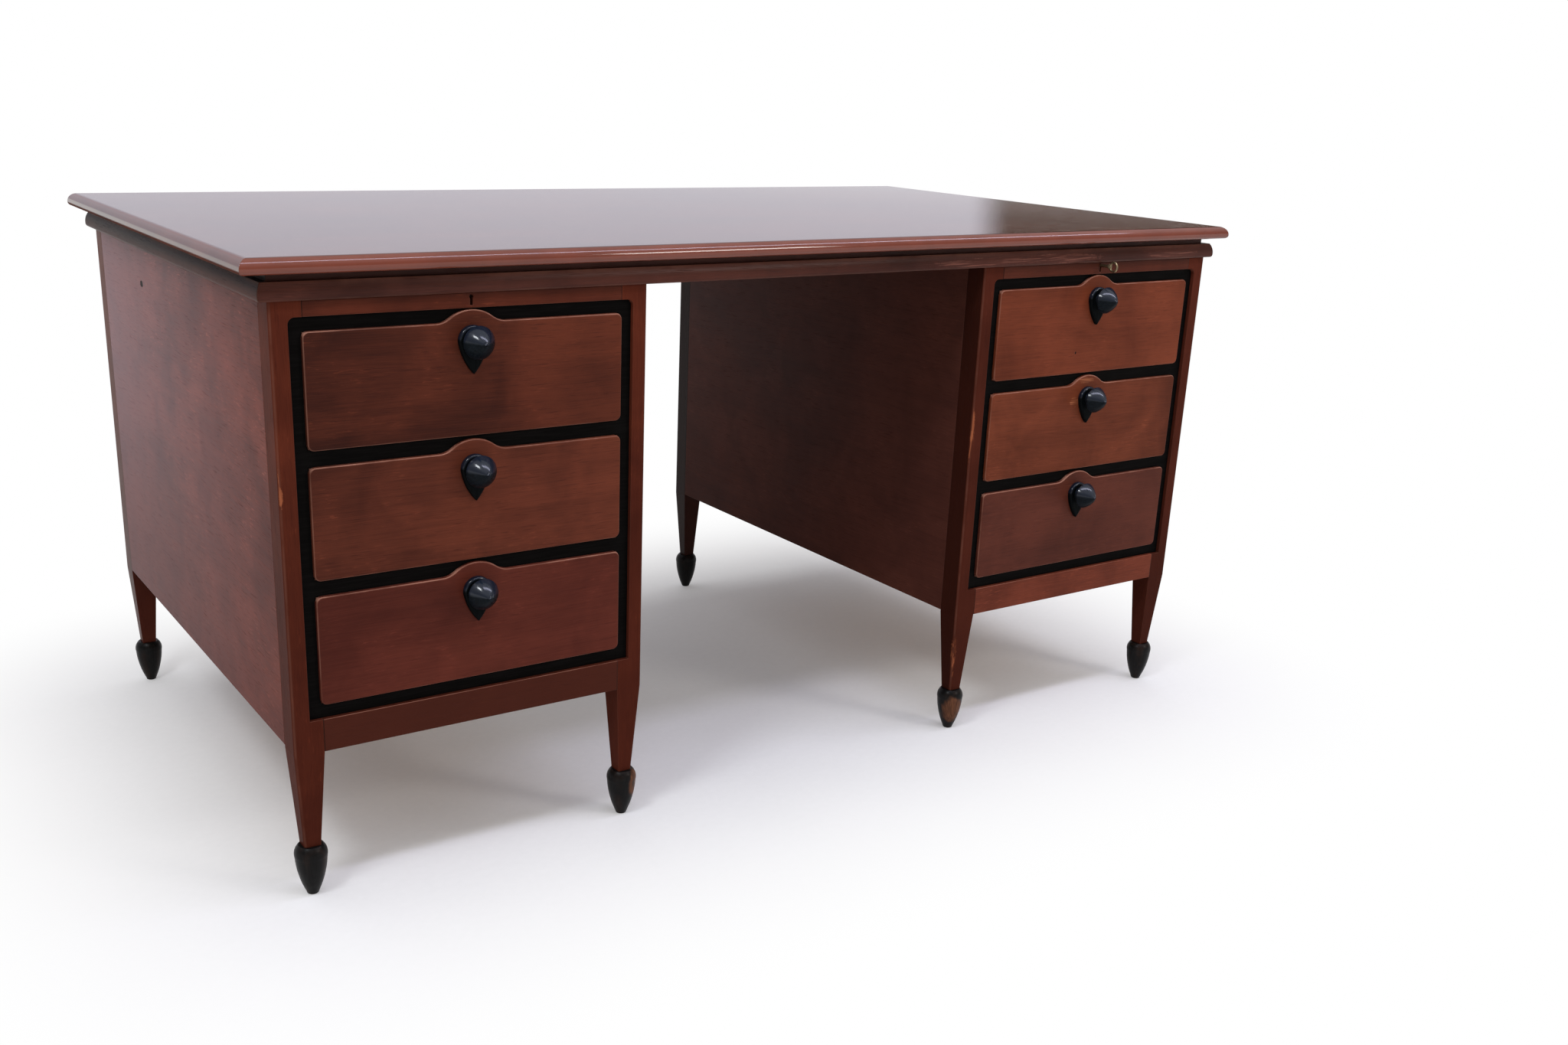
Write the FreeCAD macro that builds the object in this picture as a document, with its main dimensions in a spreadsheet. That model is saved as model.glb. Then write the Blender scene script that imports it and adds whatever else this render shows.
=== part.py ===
import FreeCAD, Part
import math
import os
import Sketcher

# Pedestal desk in mahogany: a moulded top on two pedestals of three drawers each.
# Millimetres, +Z up, the front faces -Y, origin on the floor at the middle of the desk's box.

SIZES = {
    # Top
    "desk_height": 765.0,
    "top_length": 1548.0,
    "top_depth": 850.0,
    "top_thickness": 18.0,
    "top_upper_round": 12.3,
    "top_lower_round": 5.3,
    # Moulding under the top
    "moulding_height": 29.0,
    "moulding_width": 60.0,
    "moulding_end_setback": 20.0,
    "moulding_front_setback": 10.0,
    "moulding_recess_height": 8.5,
    "moulding_recess_depth": 14.0,
    "moulding_top_inset": 4.5,
    "moulding_nose_level": 6.0,
    "moulding_foot_inset": 1.8,
    "bearer_width": 40.0,
    # Screws and dowels of the top
    "screw_diameter": 4.0,
    "screw_head_diameter": 8.0,
    "screw_head_height": 3.0,
    "screw_bite": 11.0,
    "dowel_diameter": 6.0,
    "dowel_length": 30.0,
    # Pedestals
    "pedestal_width": 465.0,
    "pedestal_end_setback": 12.0,
    "pedestal_front_setback": 5.0,
    # Legs and feet
    "leg_width": 36.0,
    "leg_foot_width": 20.0,
    "leg_outer_round": 4.5,
    "leg_inner_round": 0.8,
    "leg_level": 190.0,
    "foot_height": 66.0,
    "foot_radius": 19.5,
    "foot_belly_level": 50.0,
    "foot_top_radius": 14.6,
    "foot_tip_radius": 7.6,
    "foot_tip_round": 2.5,
    "foot_spigot_radius": 5.0,
    "foot_spigot_length": 25.0,
    # Panels and rails
    "side_panel_thickness": 18.0,
    "side_panel_level": 193.0,
    "back_panel_thickness": 12.0,
    "back_panel_inset": 4.0,
    "tongue_thickness": 6.0,
    "tongue_depth": 10.0,
    "top_rail_height": 18.0,
    "bottom_rail_height": 41.0,
    "rail_edge_round": 1.2,
    "tenon_thickness": 12.0,
    "tenon_depth": 14.0,
    "tenon_shoulder": 4.0,
    # Ebonised frame round the drawers
    "frame_recess": 6.0,
    "leg_face_width": 20.0,
    "stile_depth": 20.0,
    "stile_corner_round": 8.0,
    "divider_depth": 50.0,
    "top_strip_height": 16.0,
    "divider_height": 18.5,
    "bottom_strip_height": 17.0,
    # Runners and guides
    "runner_ledge": 16.0,
    "guide_height": 20.0,
    # Drawers
    "front_lap": 1.0,
    "front_corner_round": 8.0,
    "front_edge_round": 2.6,
    "inset_thickness": 18.0,
    "hump_half_width": 43.5,
    "hump_height": 14.6,
    "hump_crown_radius": 44.0,
    "box_length": 620.0,
    "box_side_thickness": 12.0,
    "box_side_drop": 14.0,
    "box_bottom_thickness": 6.0,
    "box_bottom_rise": 6.0,
    # Knobs
    "knob_drop": 21.0,
    "knob_projection": 41.0,
    "knob_head_radius": 19.6,
    "knob_neck_radius": 7.5,
    "knob_stem_radius": 4.0,
    "knob_stem_length": 12.0,
    "rose_radius": 18.0,
    "rose_drop": 38.5,
    "rose_thickness": 6.5,
    "rose_edge_round": 3.0,
    # Locks and key
    "lock_width": 50.0,
    "lock_depth": 18.0,
    "lock_wall": 2.0,
    "lock_front_wall": 7.0,
    "bolt_width": 18.0,
    "bolt_thickness": 5.0,
    "bolt_back_gap": 2.5,
    "bolt_top": 12.0,
    "bolt_throw": 9.0,
    "keyhole_level": 13.0,
    "keyhole_slot_width": 3.4,
    "keyhole_slot_drop": 10.0,
    "key_shank_diameter": 5.0,
    "key_reach": 19.0,
    "key_collar_diameter": 7.6,
    "key_collar_length": 2.4,
    "key_bow_radius": 6.6,
    "key_bow_wire_radius": 1.7,
    "key_bit_drop": 9.0,
    "key_bit_thickness": 2.4,
    "key_bit_length": 4.4,
    # Fits
    "glue_gap": 0.1,
    "running_gap": 0.4,
    "key_gap": 0.08,
    "cut_overrun": 5.0,
}

# Shares of the sizes that the turned and curved outlines follow
MOULDING_SWELL_SHARES = (0.72, 0.45)
FOOT_SIDE_SHARES = (0.8, 0.5)
FOOT_SHOULDER_SHARES = (0.84, 0.64)
KNOB_SWELL_SHARE = 1.35
KNOB_NECK_SHARES = (0.21, 0.33)
KNOB_UNDERSIDE_SHARES = (0.88, 0.385)
KNOB_EQUATOR_SHARE = 0.47
KNOB_DOME_SHARES = (0.63, 0.735)
KNOB_TIP_SHARES = (0.2, 0.925)
KNOB_POINT_SHARES = (0.085, 0.952)
KNOB_END_SHARE = 0.03
ROSE_WAIST_SHARES = (0.951, 0.3092)
ROSE_SIDE_SHARES = (0.6, 0.6)
ROUND_SHARE = 1.0 - math.sqrt(0.5)

doc = FreeCAD.newDocument("pedestal_desk")
sheet = doc.addObject("Spreadsheet::Sheet", "Sizes")


class Size:
    """A length as an expression on the sheet's cells, with its present value."""

    def __init__(self, text, value):
        self.text = text
        self.value = value

    def __add__(self, other):
        return combine(self, "+", other, self.value + number(other))

    def __sub__(self, other):
        return combine(self, "-", other, self.value - number(other))

    def __mul__(self, other):
        return combine(self, "*", other, self.value * number(other))

    def __rmul__(self, other):
        return combine(other, "*", self, number(other) * self.value)

    def __truediv__(self, other):
        return combine(self, "/", other, self.value / number(other))

    def __neg__(self):
        return Size(f"(-{self.text})", -self.value)

    def root(self):
        """Square root of an area."""
        return Size(f"sqrt({self.text})", math.sqrt(self.value))


def number(item):
    return item.value if isinstance(item, Size) else float(item)


def written(item):
    return item.text if isinstance(item, Size) else repr(item)


def combine(left, sign, right, value):
    return Size(f"({written(left)} {sign} {written(right)})", value)


class NamedSizes:
    """Reads a cell of the sheet by its alias."""

    def __getattr__(self, name):
        return Size(f"Sizes.{name}", SIZES[name])


for row, (alias, length) in enumerate(SIZES.items(), start=1):
    sheet.set(f"A{row}", alias)
    sheet.set(f"B{row}", str(length))
    sheet.setAlias(f"B{row}", alias)
doc.recompute()

S = NamedSizes()
ZERO = Size("0", 0.0)


# Document helpers

def bind(obj, **properties):
    """Bind properties of an object to sizes."""
    for name, size in properties.items():
        obj.setExpression(name, size.text)


def place(obj, x, y, z, turn=None):
    """Give an object its place, and a turn about one axis where it needs one."""
    if turn:
        obj.Placement = FreeCAD.Placement(FreeCAD.Vector(), turn)
    for axis, size in zip("xyz", (x, y, z)):
        obj.setExpression(f"Placement.Base.{axis}", size.text)
    return obj


def board(name, x, y, z):
    """A rectangular board between three pairs of faces."""
    box = doc.addObject("Part::Box", name)
    bind(box, Length=x[1] - x[0], Width=y[1] - y[0], Height=z[1] - z[0])
    return place(box, x[0], y[0], z[0])


ALONG_Y = FreeCAD.Rotation(FreeCAD.Vector(1, 0, 0), -90)


def upright(name, x, y, z, radius):
    """A round rod that stands on z[0] and ends at z[1]."""
    rod = doc.addObject("Part::Cylinder", name)
    bind(rod, Radius=radius, Height=z[1] - z[0])
    return place(rod, x, y, z[0])


def level_rod(name, x, y, z, radius):
    """A round rod that runs from y[0] to y[1]."""
    rod = doc.addObject("Part::Cylinder", name)
    bind(rod, Radius=radius, Height=y[1] - y[0])
    return place(rod, x, y[0], z, ALONG_Y)


def fused(name, pieces):
    """One solid made of several."""
    if len(pieces) == 1:
        return pieces[0]
    union = doc.addObject("Part::MultiFuse", name)
    union.Shapes = pieces
    return union


def cut(name, base, tools):
    """A piece with holes, grooves or rebates cut into it."""
    result = doc.addObject("Part::Cut", name)
    result.Base = base
    result.Tool = fused(f"{name}_cuts", tools)
    return result


def group(name, pieces):
    """Several separate solids under one name."""
    compound = doc.addObject("Part::Compound", name)
    compound.Links = pieces
    return compound


NODES = []


def node(name, obj):
    """Name a finished sub-part."""
    obj.Label = name
    NODES.append(obj)
    return obj


def origin_plane(body, role):
    return next(item for item in body.Origin.OriginFeatures if item.Role == role)


def new_sketch(body, name, role, offset=None):
    """A sketch on one of its body's origin planes, moved along that plane's normal."""
    sketch = body.newObject("Sketcher::SketchObject", name)
    sketch.AttachmentSupport = [(origin_plane(body, role), "")]
    sketch.MapMode = "FlatFace"
    if offset:
        sketch.setExpression("AttachmentOffset.Base.z", offset.text)
    return sketch


def pin(sketch, geometry, end, point):
    """Hold a point of a sketch at its distances from the sketch's origin."""
    for kind, axis, size in (("DistanceX", -2, point[0]), ("DistanceY", -1, point[1])):
        if size.value == 0.0:
            sketch.addConstraint(Sketcher.Constraint("PointOnObject", geometry, end, axis))
            continue
        if size.value > 0.0:
            index = sketch.addConstraint(Sketcher.Constraint(kind, -1, 1, geometry, end, size.value))
            sketch.setExpression(f"Constraints[{index}]", size.text)
        else:
            index = sketch.addConstraint(Sketcher.Constraint(kind, geometry, end, -1, 1, -size.value))
            sketch.setExpression(f"Constraints[{index}]", (-size).text)


def side_between(sketch, start, step):
    """Draw a line or an arc, and tell which of its ends is its beginning."""
    finish = step[-1]
    if len(step) == 1:
        return sketch.addGeometry(Part.LineSegment(start, finish), False), 1, 2
    if (step[0] - start).cross(finish - step[0]).z > 0:
        return sketch.addGeometry(Part.Arc(start, step[0], finish), False), 1, 2
    return sketch.addGeometry(Part.Arc(finish, step[0], start), False), 2, 1


def outline(sketch, path):
    """Draw a closed outline. A step of two points is an arc through the first to the second."""
    vectors = [[FreeCAD.Vector(x.value, y.value, 0) for x, y in step] for step in path]
    sides = [side_between(sketch, vectors[index - 1][-1], step) for index, step in enumerate(vectors)]
    for index, step in enumerate(path):
        side, begin, finish = sides[index]
        after, after_begin, after_finish = sides[(index + 1) % len(sides)]
        sketch.addConstraint(Sketcher.Constraint("Coincident", side, finish, after, after_begin))
        pin(sketch, side, finish, step[-1])
        if len(step) == 2:
            middle = sketch.addGeometry(Part.Point(vectors[index][0]), True)
            pin(sketch, middle, 1, step[0])
            sketch.addConstraint(Sketcher.Constraint("PointOnObject", middle, 1, side))


def rectangle(x, y):
    """Path of a rectangle between two pairs of sides."""
    return [[(x[0], y[0])], [(x[1], y[0])], [(x[1], y[1])], [(x[0], y[1])]]


def rounded_rectangle(x, y, rounds):
    """Path of a rectangle whose corners are rounded, from the low corner anticlockwise."""
    path = []
    corners = (
        (x[0], y[0], (1, 1), (0, 1), (1, 0)),
        (x[1], y[0], (-1, 1), (-1, 0), (0, 1)),
        (x[1], y[1], (-1, -1), (0, -1), (-1, 0)),
        (x[0], y[1], (1, -1), (1, 0), (0, -1)),
    )
    for (cx, cy, inward, enter, leave), radius in zip(corners, rounds):
        near = radius * ROUND_SHARE
        path.append([(cx + radius * enter[0], cy + radius * enter[1])])
        middle = (cx + near * inward[0], cy + near * inward[1])
        path.append([middle, (cx + radius * leave[0], cy + radius * leave[1])])
    return path


def new_body(name):
    return doc.addObject("PartDesign::Body", name)


def padded(body, name, role, path, length, offset=None, back=False):
    """Draw a path on a plane of a body and pad it, towards the plane's back if asked."""
    sketch = new_sketch(body, f"{name}_sketch", role, offset)
    outline(sketch, path)
    pad = body.newObject("PartDesign::Pad", name)
    pad.Profile = sketch
    pad.Reversed = back
    bind(pad, Length=length)
    return pad


def turned(body, name, role, path):
    """Draw half a section and turn it about the sketch's upright axis."""
    sketch = new_sketch(body, f"{name}_sketch", role)
    outline(sketch, path)
    revolution = body.newObject("PartDesign::Revolution", name)
    revolution.Profile = sketch
    revolution.ReferenceAxis = (sketch, ["V_Axis"])
    revolution.Angle = 360
    return revolution


def eased(body, name, feature, radius, chosen):
    """Round the edges of a feature that a test chooses."""
    doc.recompute()
    edges = feature.Shape.Edges
    names = [f"Edge{index}" for index, edge in enumerate(edges, start=1) if chosen(edge)]
    fillet = body.newObject("PartDesign::Fillet", name)
    fillet.Base = (feature, names)
    bind(fillet, Radius=radius)
    return fillet


def lies_at(edge, axis, level):
    """Whether a whole edge lies in the plane square to an axis at a level."""
    box = edge.BoundBox
    low = getattr(box, f"{axis}Min")
    high = getattr(box, f"{axis}Max")
    near = SIZES["glue_gap"]
    return abs(low - level) < near and abs(high - level) < near


# Levels and faces that the pieces share

FRONT_OVERHANG = S.moulding_front_setback + S.pedestal_front_setback
PEDESTAL_DEPTH = S.top_depth - FRONT_OVERHANG * 2
DESK_Y = (S.knob_projection - FRONT_OVERHANG) / 2
FRONT = DESK_Y - PEDESTAL_DEPTH / 2
BACK = DESK_Y + PEDESTAL_DEPTH / 2
TOP_UNDERSIDE = S.desk_height - S.top_thickness
FRAME_UNDERSIDE = TOP_UNDERSIDE - S.moulding_height
RAIL_UNDERSIDE = FRAME_UNDERSIDE - S.top_rail_height
BOTTOM_RAIL_TOP = S.leg_level + S.bottom_rail_height
PEDESTAL_OUTER = S.top_length / 2 - S.moulding_end_setback - S.pedestal_end_setback
PEDESTAL_X = PEDESTAL_OUTER - S.pedestal_width / 2
PEDESTAL_HALF = S.pedestal_width / 2
LEG_INNER = PEDESTAL_HALF - S.leg_width
PANEL_INNER = PEDESTAL_HALF - S.side_panel_thickness
FRAME_FACE = FRONT + S.frame_recess
STRIPS = S.top_strip_height + S.divider_height * 2 + S.bottom_strip_height
FRONT_HEIGHT = (RAIL_UNDERSIDE - BOTTOM_RAIL_TOP - STRIPS) / 3
FRONT_PITCH = FRONT_HEIGHT + S.divider_height
FRONT_LEVELS = [BOTTOM_RAIL_TOP + S.bottom_strip_height + FRONT_PITCH * count for count in range(3)]
FRONT_HALF = LEG_INNER + S.front_lap
LOCK_FACE = FRONT + S.lock_front_wall
LOCK_BACK = LOCK_FACE + S.lock_depth
BOLT_BACK = LOCK_BACK - S.lock_wall - S.bolt_back_gap
BOLT_FACE = BOLT_BACK - S.bolt_thickness
KEY_LEVEL = RAIL_UNDERSIDE + S.keyhole_level


def span(centre, half):
    """Two faces at equal distances from a middle."""
    return (centre - half, centre + half)


def ordered(one, other):
    """Two faces with the lower one first."""
    return (one, other) if one.value <= other.value else (other, one)


# Top

def desk_top():
    body = new_body("desk_top_body")
    path = rectangle(span(ZERO, S.top_length / 2), span(ZERO, S.top_depth / 2))
    slab = padded(body, "desk_top_slab", "XY_Plane", path, S.top_thickness)
    thickness = SIZES["top_thickness"]
    upper = eased(body, "desk_top_upper", slab, S.top_upper_round, lambda edge: lies_at(edge, "Z", thickness))
    lower = eased(body, "desk_top_lower", upper, S.top_lower_round, lambda edge: lies_at(edge, "Z", 0.0))
    body.Tip = lower
    return place(body, ZERO, DESK_Y, TOP_UNDERSIDE)


def moulding(name, length, turn, x, y):
    """One mitred board of the moulding, recessed under the slab, its face towards -Y before it is turned."""
    section = new_body(f"{name}_section")
    nose = S.moulding_nose_level
    shelf = S.moulding_height - S.moulding_recess_height
    swell = shelf - nose
    path = [
        [(S.moulding_width, ZERO)],
        [(S.moulding_width, S.moulding_height)],
        [(S.moulding_recess_depth, S.moulding_height)],
        [(S.moulding_recess_depth, shelf)],
        [(S.moulding_top_inset, shelf)],
        [
            (S.moulding_top_inset * (1 - MOULDING_SWELL_SHARES[0]), shelf - swell * MOULDING_SWELL_SHARES[1]),
            (ZERO, nose),
        ],
        [(S.moulding_foot_inset * ROUND_SHARE, nose * ROUND_SHARE), (S.moulding_foot_inset, ZERO)],
    ]
    pad = padded(section, f"{name}_length", "YZ_Plane", path, length)
    section.Tip = pad
    place(section, -length / 2, ZERO, ZERO)
    mitre = doc.addObject("Part::Wedge", f"{name}_mitre")
    half = length / 2
    short = half - S.moulding_width
    bind(mitre, Xmin=-half, Xmax=half, X2min=-short, X2max=short)
    bind(mitre, Ymin=ZERO, Ymax=S.moulding_width)
    bind(mitre, Zmin=ZERO, Zmax=S.moulding_height, Z2min=ZERO, Z2max=S.moulding_height)
    piece = doc.addObject("Part::Common", f"{name}_board")
    piece.Base = section
    piece.Tool = mitre
    turning = FreeCAD.Rotation(FreeCAD.Vector(0, 0, 1), turn)
    return place(piece, x, y, FRAME_UNDERSIDE, turning)


MOULDING_X = S.top_length / 2 - S.moulding_end_setback
MOULDING_Y = S.top_depth / 2 - S.moulding_front_setback
BEARER_Y = span(DESK_Y, MOULDING_Y - S.moulding_width)
LEG_AXIS = PEDESTAL_HALF - S.leg_width / 2
LEG_AXES_Y = {"front": FRONT + S.leg_width / 2, "back": BACK - S.leg_width / 2}
PEDESTALS = {"left": -PEDESTAL_X, "right": PEDESTAL_X}


def top_screw(name, x, y, radius_gap, head_gap):
    """A screw from below, or the hole for it where the gaps widen it."""
    reach = TOP_UNDERSIDE + S.screw_bite
    head = FRAME_UNDERSIDE + S.screw_head_height
    radius = S.screw_diameter / 2 + radius_gap
    shank = upright(f"{name}_shank", x, y, (FRAME_UNDERSIDE, reach + head_gap), radius)
    cap = upright(f"{name}_head", x, y, (FRAME_UNDERSIDE, head), S.screw_head_diameter / 2 + radius_gap)
    return fused(name, [shank, cap])


def leg_dowel(name, x, y, gap):
    """A dowel between a leg and the moulding, or the hole for it."""
    half = S.dowel_length / 2 + gap
    return upright(name, x, y, span(FRAME_UNDERSIDE, half), S.dowel_diameter / 2 + gap)


def build_top():
    half = MOULDING_X
    long_side = half * 2
    short_side = MOULDING_Y * 2
    boards = {
        "front": (long_side, 0, ZERO, DESK_Y - MOULDING_Y),
        "back": (long_side, 180, ZERO, DESK_Y + MOULDING_Y),
        "left": (short_side, -90, -half, DESK_Y),
        "right": (short_side, 90, half, DESK_Y),
    }
    screw_places = []
    for side in ("front", "back"):
        direction = -1 if side == "front" else 1
        y = DESK_Y + (MOULDING_Y - S.moulding_width / 2) * direction
        for x in (-half / 2, ZERO, half / 2):
            screw_places.append((side, x, y))
    for side, direction in (("left", -1), ("right", 1)):
        screw_places.append((side, (half - S.moulding_width / 2) * direction, DESK_Y))
    bearer_inner = PEDESTAL_OUTER - S.pedestal_width
    for pedestal, direction in (("left", -1), ("right", 1)):
        x = (bearer_inner + S.bearer_width / 2) * direction
        screw_places.append(("bearer", x, DESK_Y - MOULDING_Y / 2))
        screw_places.append(("bearer", x, DESK_Y + MOULDING_Y / 2))
    dowel_places = []
    for pedestal, centre in PEDESTALS.items():
        for direction in (-1, 1):
            for row, y in LEG_AXES_Y.items():
                dowel_places.append((row, centre + LEG_AXIS * direction, y))

    slab_holes = []
    for index, (side, x, y) in enumerate(screw_places):
        slab_holes.append(top_screw(f"slab_hole_{index}", x, y, S.glue_gap, S.glue_gap))
    node("desk_top", cut("desk_top_drilled", desk_top(), slab_holes))

    for side, (length, turn, x, y) in boards.items():
        piece = moulding(f"moulding_{side}", length, turn, x, y)
        holes = []
        for index, (owner, hole_x, hole_y) in enumerate(screw_places):
            if owner == side:
                holes.append(top_screw(f"{side}_screw_hole_{index}", hole_x, hole_y, S.glue_gap, S.glue_gap))
        for index, (owner, hole_x, hole_y) in enumerate(dowel_places):
            if owner == side:
                holes.append(leg_dowel(f"{side}_dowel_hole_{index}", hole_x, hole_y, S.glue_gap))
        node(f"moulding_{side}", cut(f"moulding_{side}_drilled", piece, holes))

    bearers = []
    for pedestal, direction in (("left", -1), ("right", 1)):
        faces = ordered(bearer_inner * direction, (bearer_inner + S.bearer_width) * direction)
        blank = board(f"bearer_{pedestal}_blank", faces, BEARER_Y, (FRAME_UNDERSIDE, TOP_UNDERSIDE))
        holes = []
        for index, (owner, hole_x, hole_y) in enumerate(screw_places):
            if owner == "bearer" and hole_x.value * direction > 0:
                name = f"{pedestal}_bearer_hole_{index}"
                holes.append(top_screw(name, hole_x, hole_y, S.glue_gap, S.glue_gap))
        bearers.append(cut(f"bearer_{pedestal}", blank, holes))
    node("top_bearers", group("top_bearer_pair", bearers))

    screws = []
    for index, (side, x, y) in enumerate(screw_places):
        screws.append(top_screw(f"top_screw_{index}", x, y, ZERO, ZERO))
    node("top_screws", group("top_screw_set", screws))
    dowels = []
    for index, (side, x, y) in enumerate(dowel_places):
        dowels.append(leg_dowel(f"top_dowel_{index}", x, y, ZERO))
    node("top_dowels", group("top_dowel_set", dowels))


# Legs and feet

def stile(name, centre, direction, y, inner_gap, end_gap):
    """The ebonised strip let into a front leg, or the rebate for it where the gaps widen it."""
    body = new_body(f"{name}_body")
    inner = (LEG_INNER - inner_gap) * direction
    outer = (PEDESTAL_HALF - S.leg_face_width) * direction
    radius = S.stile_corner_round
    low = BOTTOM_RAIL_TOP - end_gap
    shoulder = RAIL_UNDERSIDE - radius
    side = outer - radius * direction
    near = radius * ROUND_SHARE
    path = [
        [(inner, low)],
        [(outer, low)],
        [(outer, shoulder)],
        [(outer - near * direction, RAIL_UNDERSIDE - near), (side, RAIL_UNDERSIDE)],
        [(inner, RAIL_UNDERSIDE)],
    ]
    pad = padded(body, f"{name}_pad", "XZ_Plane", path, y[1] - y[0])
    body.Tip = pad
    return place(body, centre, y[1], ZERO)


def leg_blank(name, x, y, outward):
    """The tapered post, standing on its foot, before its joints are cut."""
    body = new_body(f"{name}_body")
    rounds = []
    for corner in ((-1, -1), (1, -1), (1, 1), (-1, 1)):
        rounds.append(S.leg_outer_round if corner == outward else S.leg_inner_round)
    wide = rounded_rectangle(span(ZERO, S.leg_width / 2), span(ZERO, S.leg_width / 2), rounds)
    slim = rounded_rectangle(span(ZERO, S.leg_foot_width / 2), span(ZERO, S.leg_foot_width / 2), rounds)
    padded(body, f"{name}_post", "XY_Plane", wide, FRAME_UNDERSIDE - S.leg_level, S.leg_level)
    low = new_sketch(body, f"{name}_low", "XY_Plane", S.foot_height)
    outline(low, slim)
    high = new_sketch(body, f"{name}_high", "XY_Plane", S.leg_level)
    outline(high, wide)
    taper = body.newObject("PartDesign::AdditiveLoft", f"{name}_taper")
    taper.Profile = low
    taper.Sections = [high]
    taper.Ruled = True
    body.Tip = taper
    return place(body, x, y, ZERO)


def foot_spigot_hole(name, x, y):
    reach = S.foot_height + S.foot_spigot_length + S.glue_gap
    return upright(name, x, y, (S.foot_height - S.cut_overrun, reach), S.foot_spigot_radius + S.glue_gap)


def foot(name, x, y):
    body = new_body(f"{name}_body")
    top = S.foot_height + S.foot_spigot_length
    rise = S.foot_height - S.foot_belly_level
    shoulder = S.foot_radius - S.foot_top_radius
    near = S.foot_tip_round * ROUND_SHARE
    path = [
        [(ZERO, ZERO)],
        [(S.foot_tip_radius - S.foot_tip_round, ZERO)],
        [(S.foot_tip_radius - near, near), (S.foot_tip_radius, S.foot_tip_round)],
        [
            (S.foot_radius * FOOT_SIDE_SHARES[0], S.foot_belly_level * FOOT_SIDE_SHARES[1]),
            (S.foot_radius, S.foot_belly_level),
        ],
        [
            (
                S.foot_top_radius + shoulder * FOOT_SHOULDER_SHARES[0],
                S.foot_belly_level + rise * FOOT_SHOULDER_SHARES[1],
            ),
            (S.foot_top_radius, S.foot_height),
        ],
        [(S.foot_spigot_radius, S.foot_height)],
        [(S.foot_spigot_radius, top)],
        [(ZERO, top)],
    ]
    body.Tip = turned(body, f"{name}_turning", "XZ_Plane", path)
    return place(body, x, y, ZERO)


# Panels, rails and runners of a pedestal

def side_tongue(name, centre, direction, gap):
    """The tongue of a side panel along both ends, or the groove for it."""
    middle = (PEDESTAL_HALF - S.side_panel_thickness / 2) * direction
    x = span(centre + middle, S.tongue_thickness / 2 + gap)
    reach = S.leg_width - S.tongue_depth - gap
    return board(name, x, (FRONT + reach, BACK - reach), (S.side_panel_level - gap, FRAME_UNDERSIDE))


BACK_PANEL_Y = (BACK - S.back_panel_inset - S.back_panel_thickness, BACK - S.back_panel_inset)


def back_tongue(name, centre, gap):
    """The tongue of the back panel along both ends, or the groove for it."""
    middle = BACK - S.back_panel_inset - S.back_panel_thickness / 2
    x = span(centre, LEG_INNER + S.tongue_depth + gap)
    y = span(middle, S.tongue_thickness / 2 + gap)
    return board(name, x, y, (S.side_panel_level - gap, FRAME_UNDERSIDE))


RAILS = {
    "top_rail": (RAIL_UNDERSIDE, FRAME_UNDERSIDE),
    "bottom_rail": (S.leg_level, BOTTOM_RAIL_TOP),
}


def rail_tenon(name, centre, rail, gap):
    """The tenons of a front rail, or the mortises for them."""
    low, high = RAILS[rail]
    x = span(centre, LEG_INNER + S.tenon_depth + gap)
    y = span(FRONT + S.leg_width / 2, S.tenon_thickness / 2 + gap)
    return board(name, x, y, (low + S.tenon_shoulder - gap, high - S.tenon_shoulder + gap))


def rail_blank(name, centre, rail):
    """A front rail with its tenons and softened front edges."""
    low, high = RAILS[rail]
    body = new_body(f"{name}_body")
    path = rectangle((FRONT, FRONT + S.leg_width), (low, high))
    pad = padded(body, f"{name}_pad", "YZ_Plane", path, LEG_INNER * 2)
    face = FRONT.value
    soft = eased(
        body,
        f"{name}_soft",
        pad,
        S.rail_edge_round,
        lambda edge: lies_at(edge, "Y", face) and lies_at(edge, "Z", edge.BoundBox.ZMin),
    )
    body.Tip = soft
    place(body, centre - LEG_INNER, ZERO, ZERO)
    return fused(f"{name}_tenoned", [body, rail_tenon(f"{name}_tenon", centre, rail, ZERO)])


def keyhole(name, centre):
    """The keyhole through the rail and the front of the lock."""
    y = (FRONT - S.cut_overrun, LOCK_FACE + S.lock_wall + S.glue_gap)
    radius = S.key_shank_diameter / 2 + S.key_gap
    bore = level_rod(f"{name}_round", centre, y, KEY_LEVEL, radius)
    slot = board(
        f"{name}_slot",
        span(centre, S.keyhole_slot_width / 2),
        y,
        (KEY_LEVEL - S.keyhole_slot_drop, KEY_LEVEL),
    )
    return fused(name, [bore, slot])


def strip_levels():
    """The four strips of the ebonised frame, from the top down."""
    lap = S.front_lap
    levels = {"top": (RAIL_UNDERSIDE - S.top_strip_height - lap, RAIL_UNDERSIDE)}
    for name, front_level in (("upper", FRONT_LEVELS[1]), ("lower", FRONT_LEVELS[0])):
        low = front_level + FRONT_HEIGHT
        levels[name] = (low - lap, low + S.divider_height + lap)
    levels["bottom"] = (BOTTOM_RAIL_TOP, BOTTOM_RAIL_TOP + S.bottom_strip_height + lap)
    return levels


STRIP_LEVELS = strip_levels()
OPENING_LOW = [STRIP_LEVELS["bottom"][1], STRIP_LEVELS["lower"][1], STRIP_LEVELS["upper"][1]]
OPENING_HIGH = [STRIP_LEVELS["lower"][0], STRIP_LEVELS["upper"][0], STRIP_LEVELS["top"][0]]


def lock_slot(name, centre, z):
    """Room for the bolt to pass."""
    gap = S.running_gap
    x = span(centre, S.bolt_width / 2 + gap)
    return board(name, x, (BOLT_FACE - gap, BOLT_BACK + gap), z)


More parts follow.
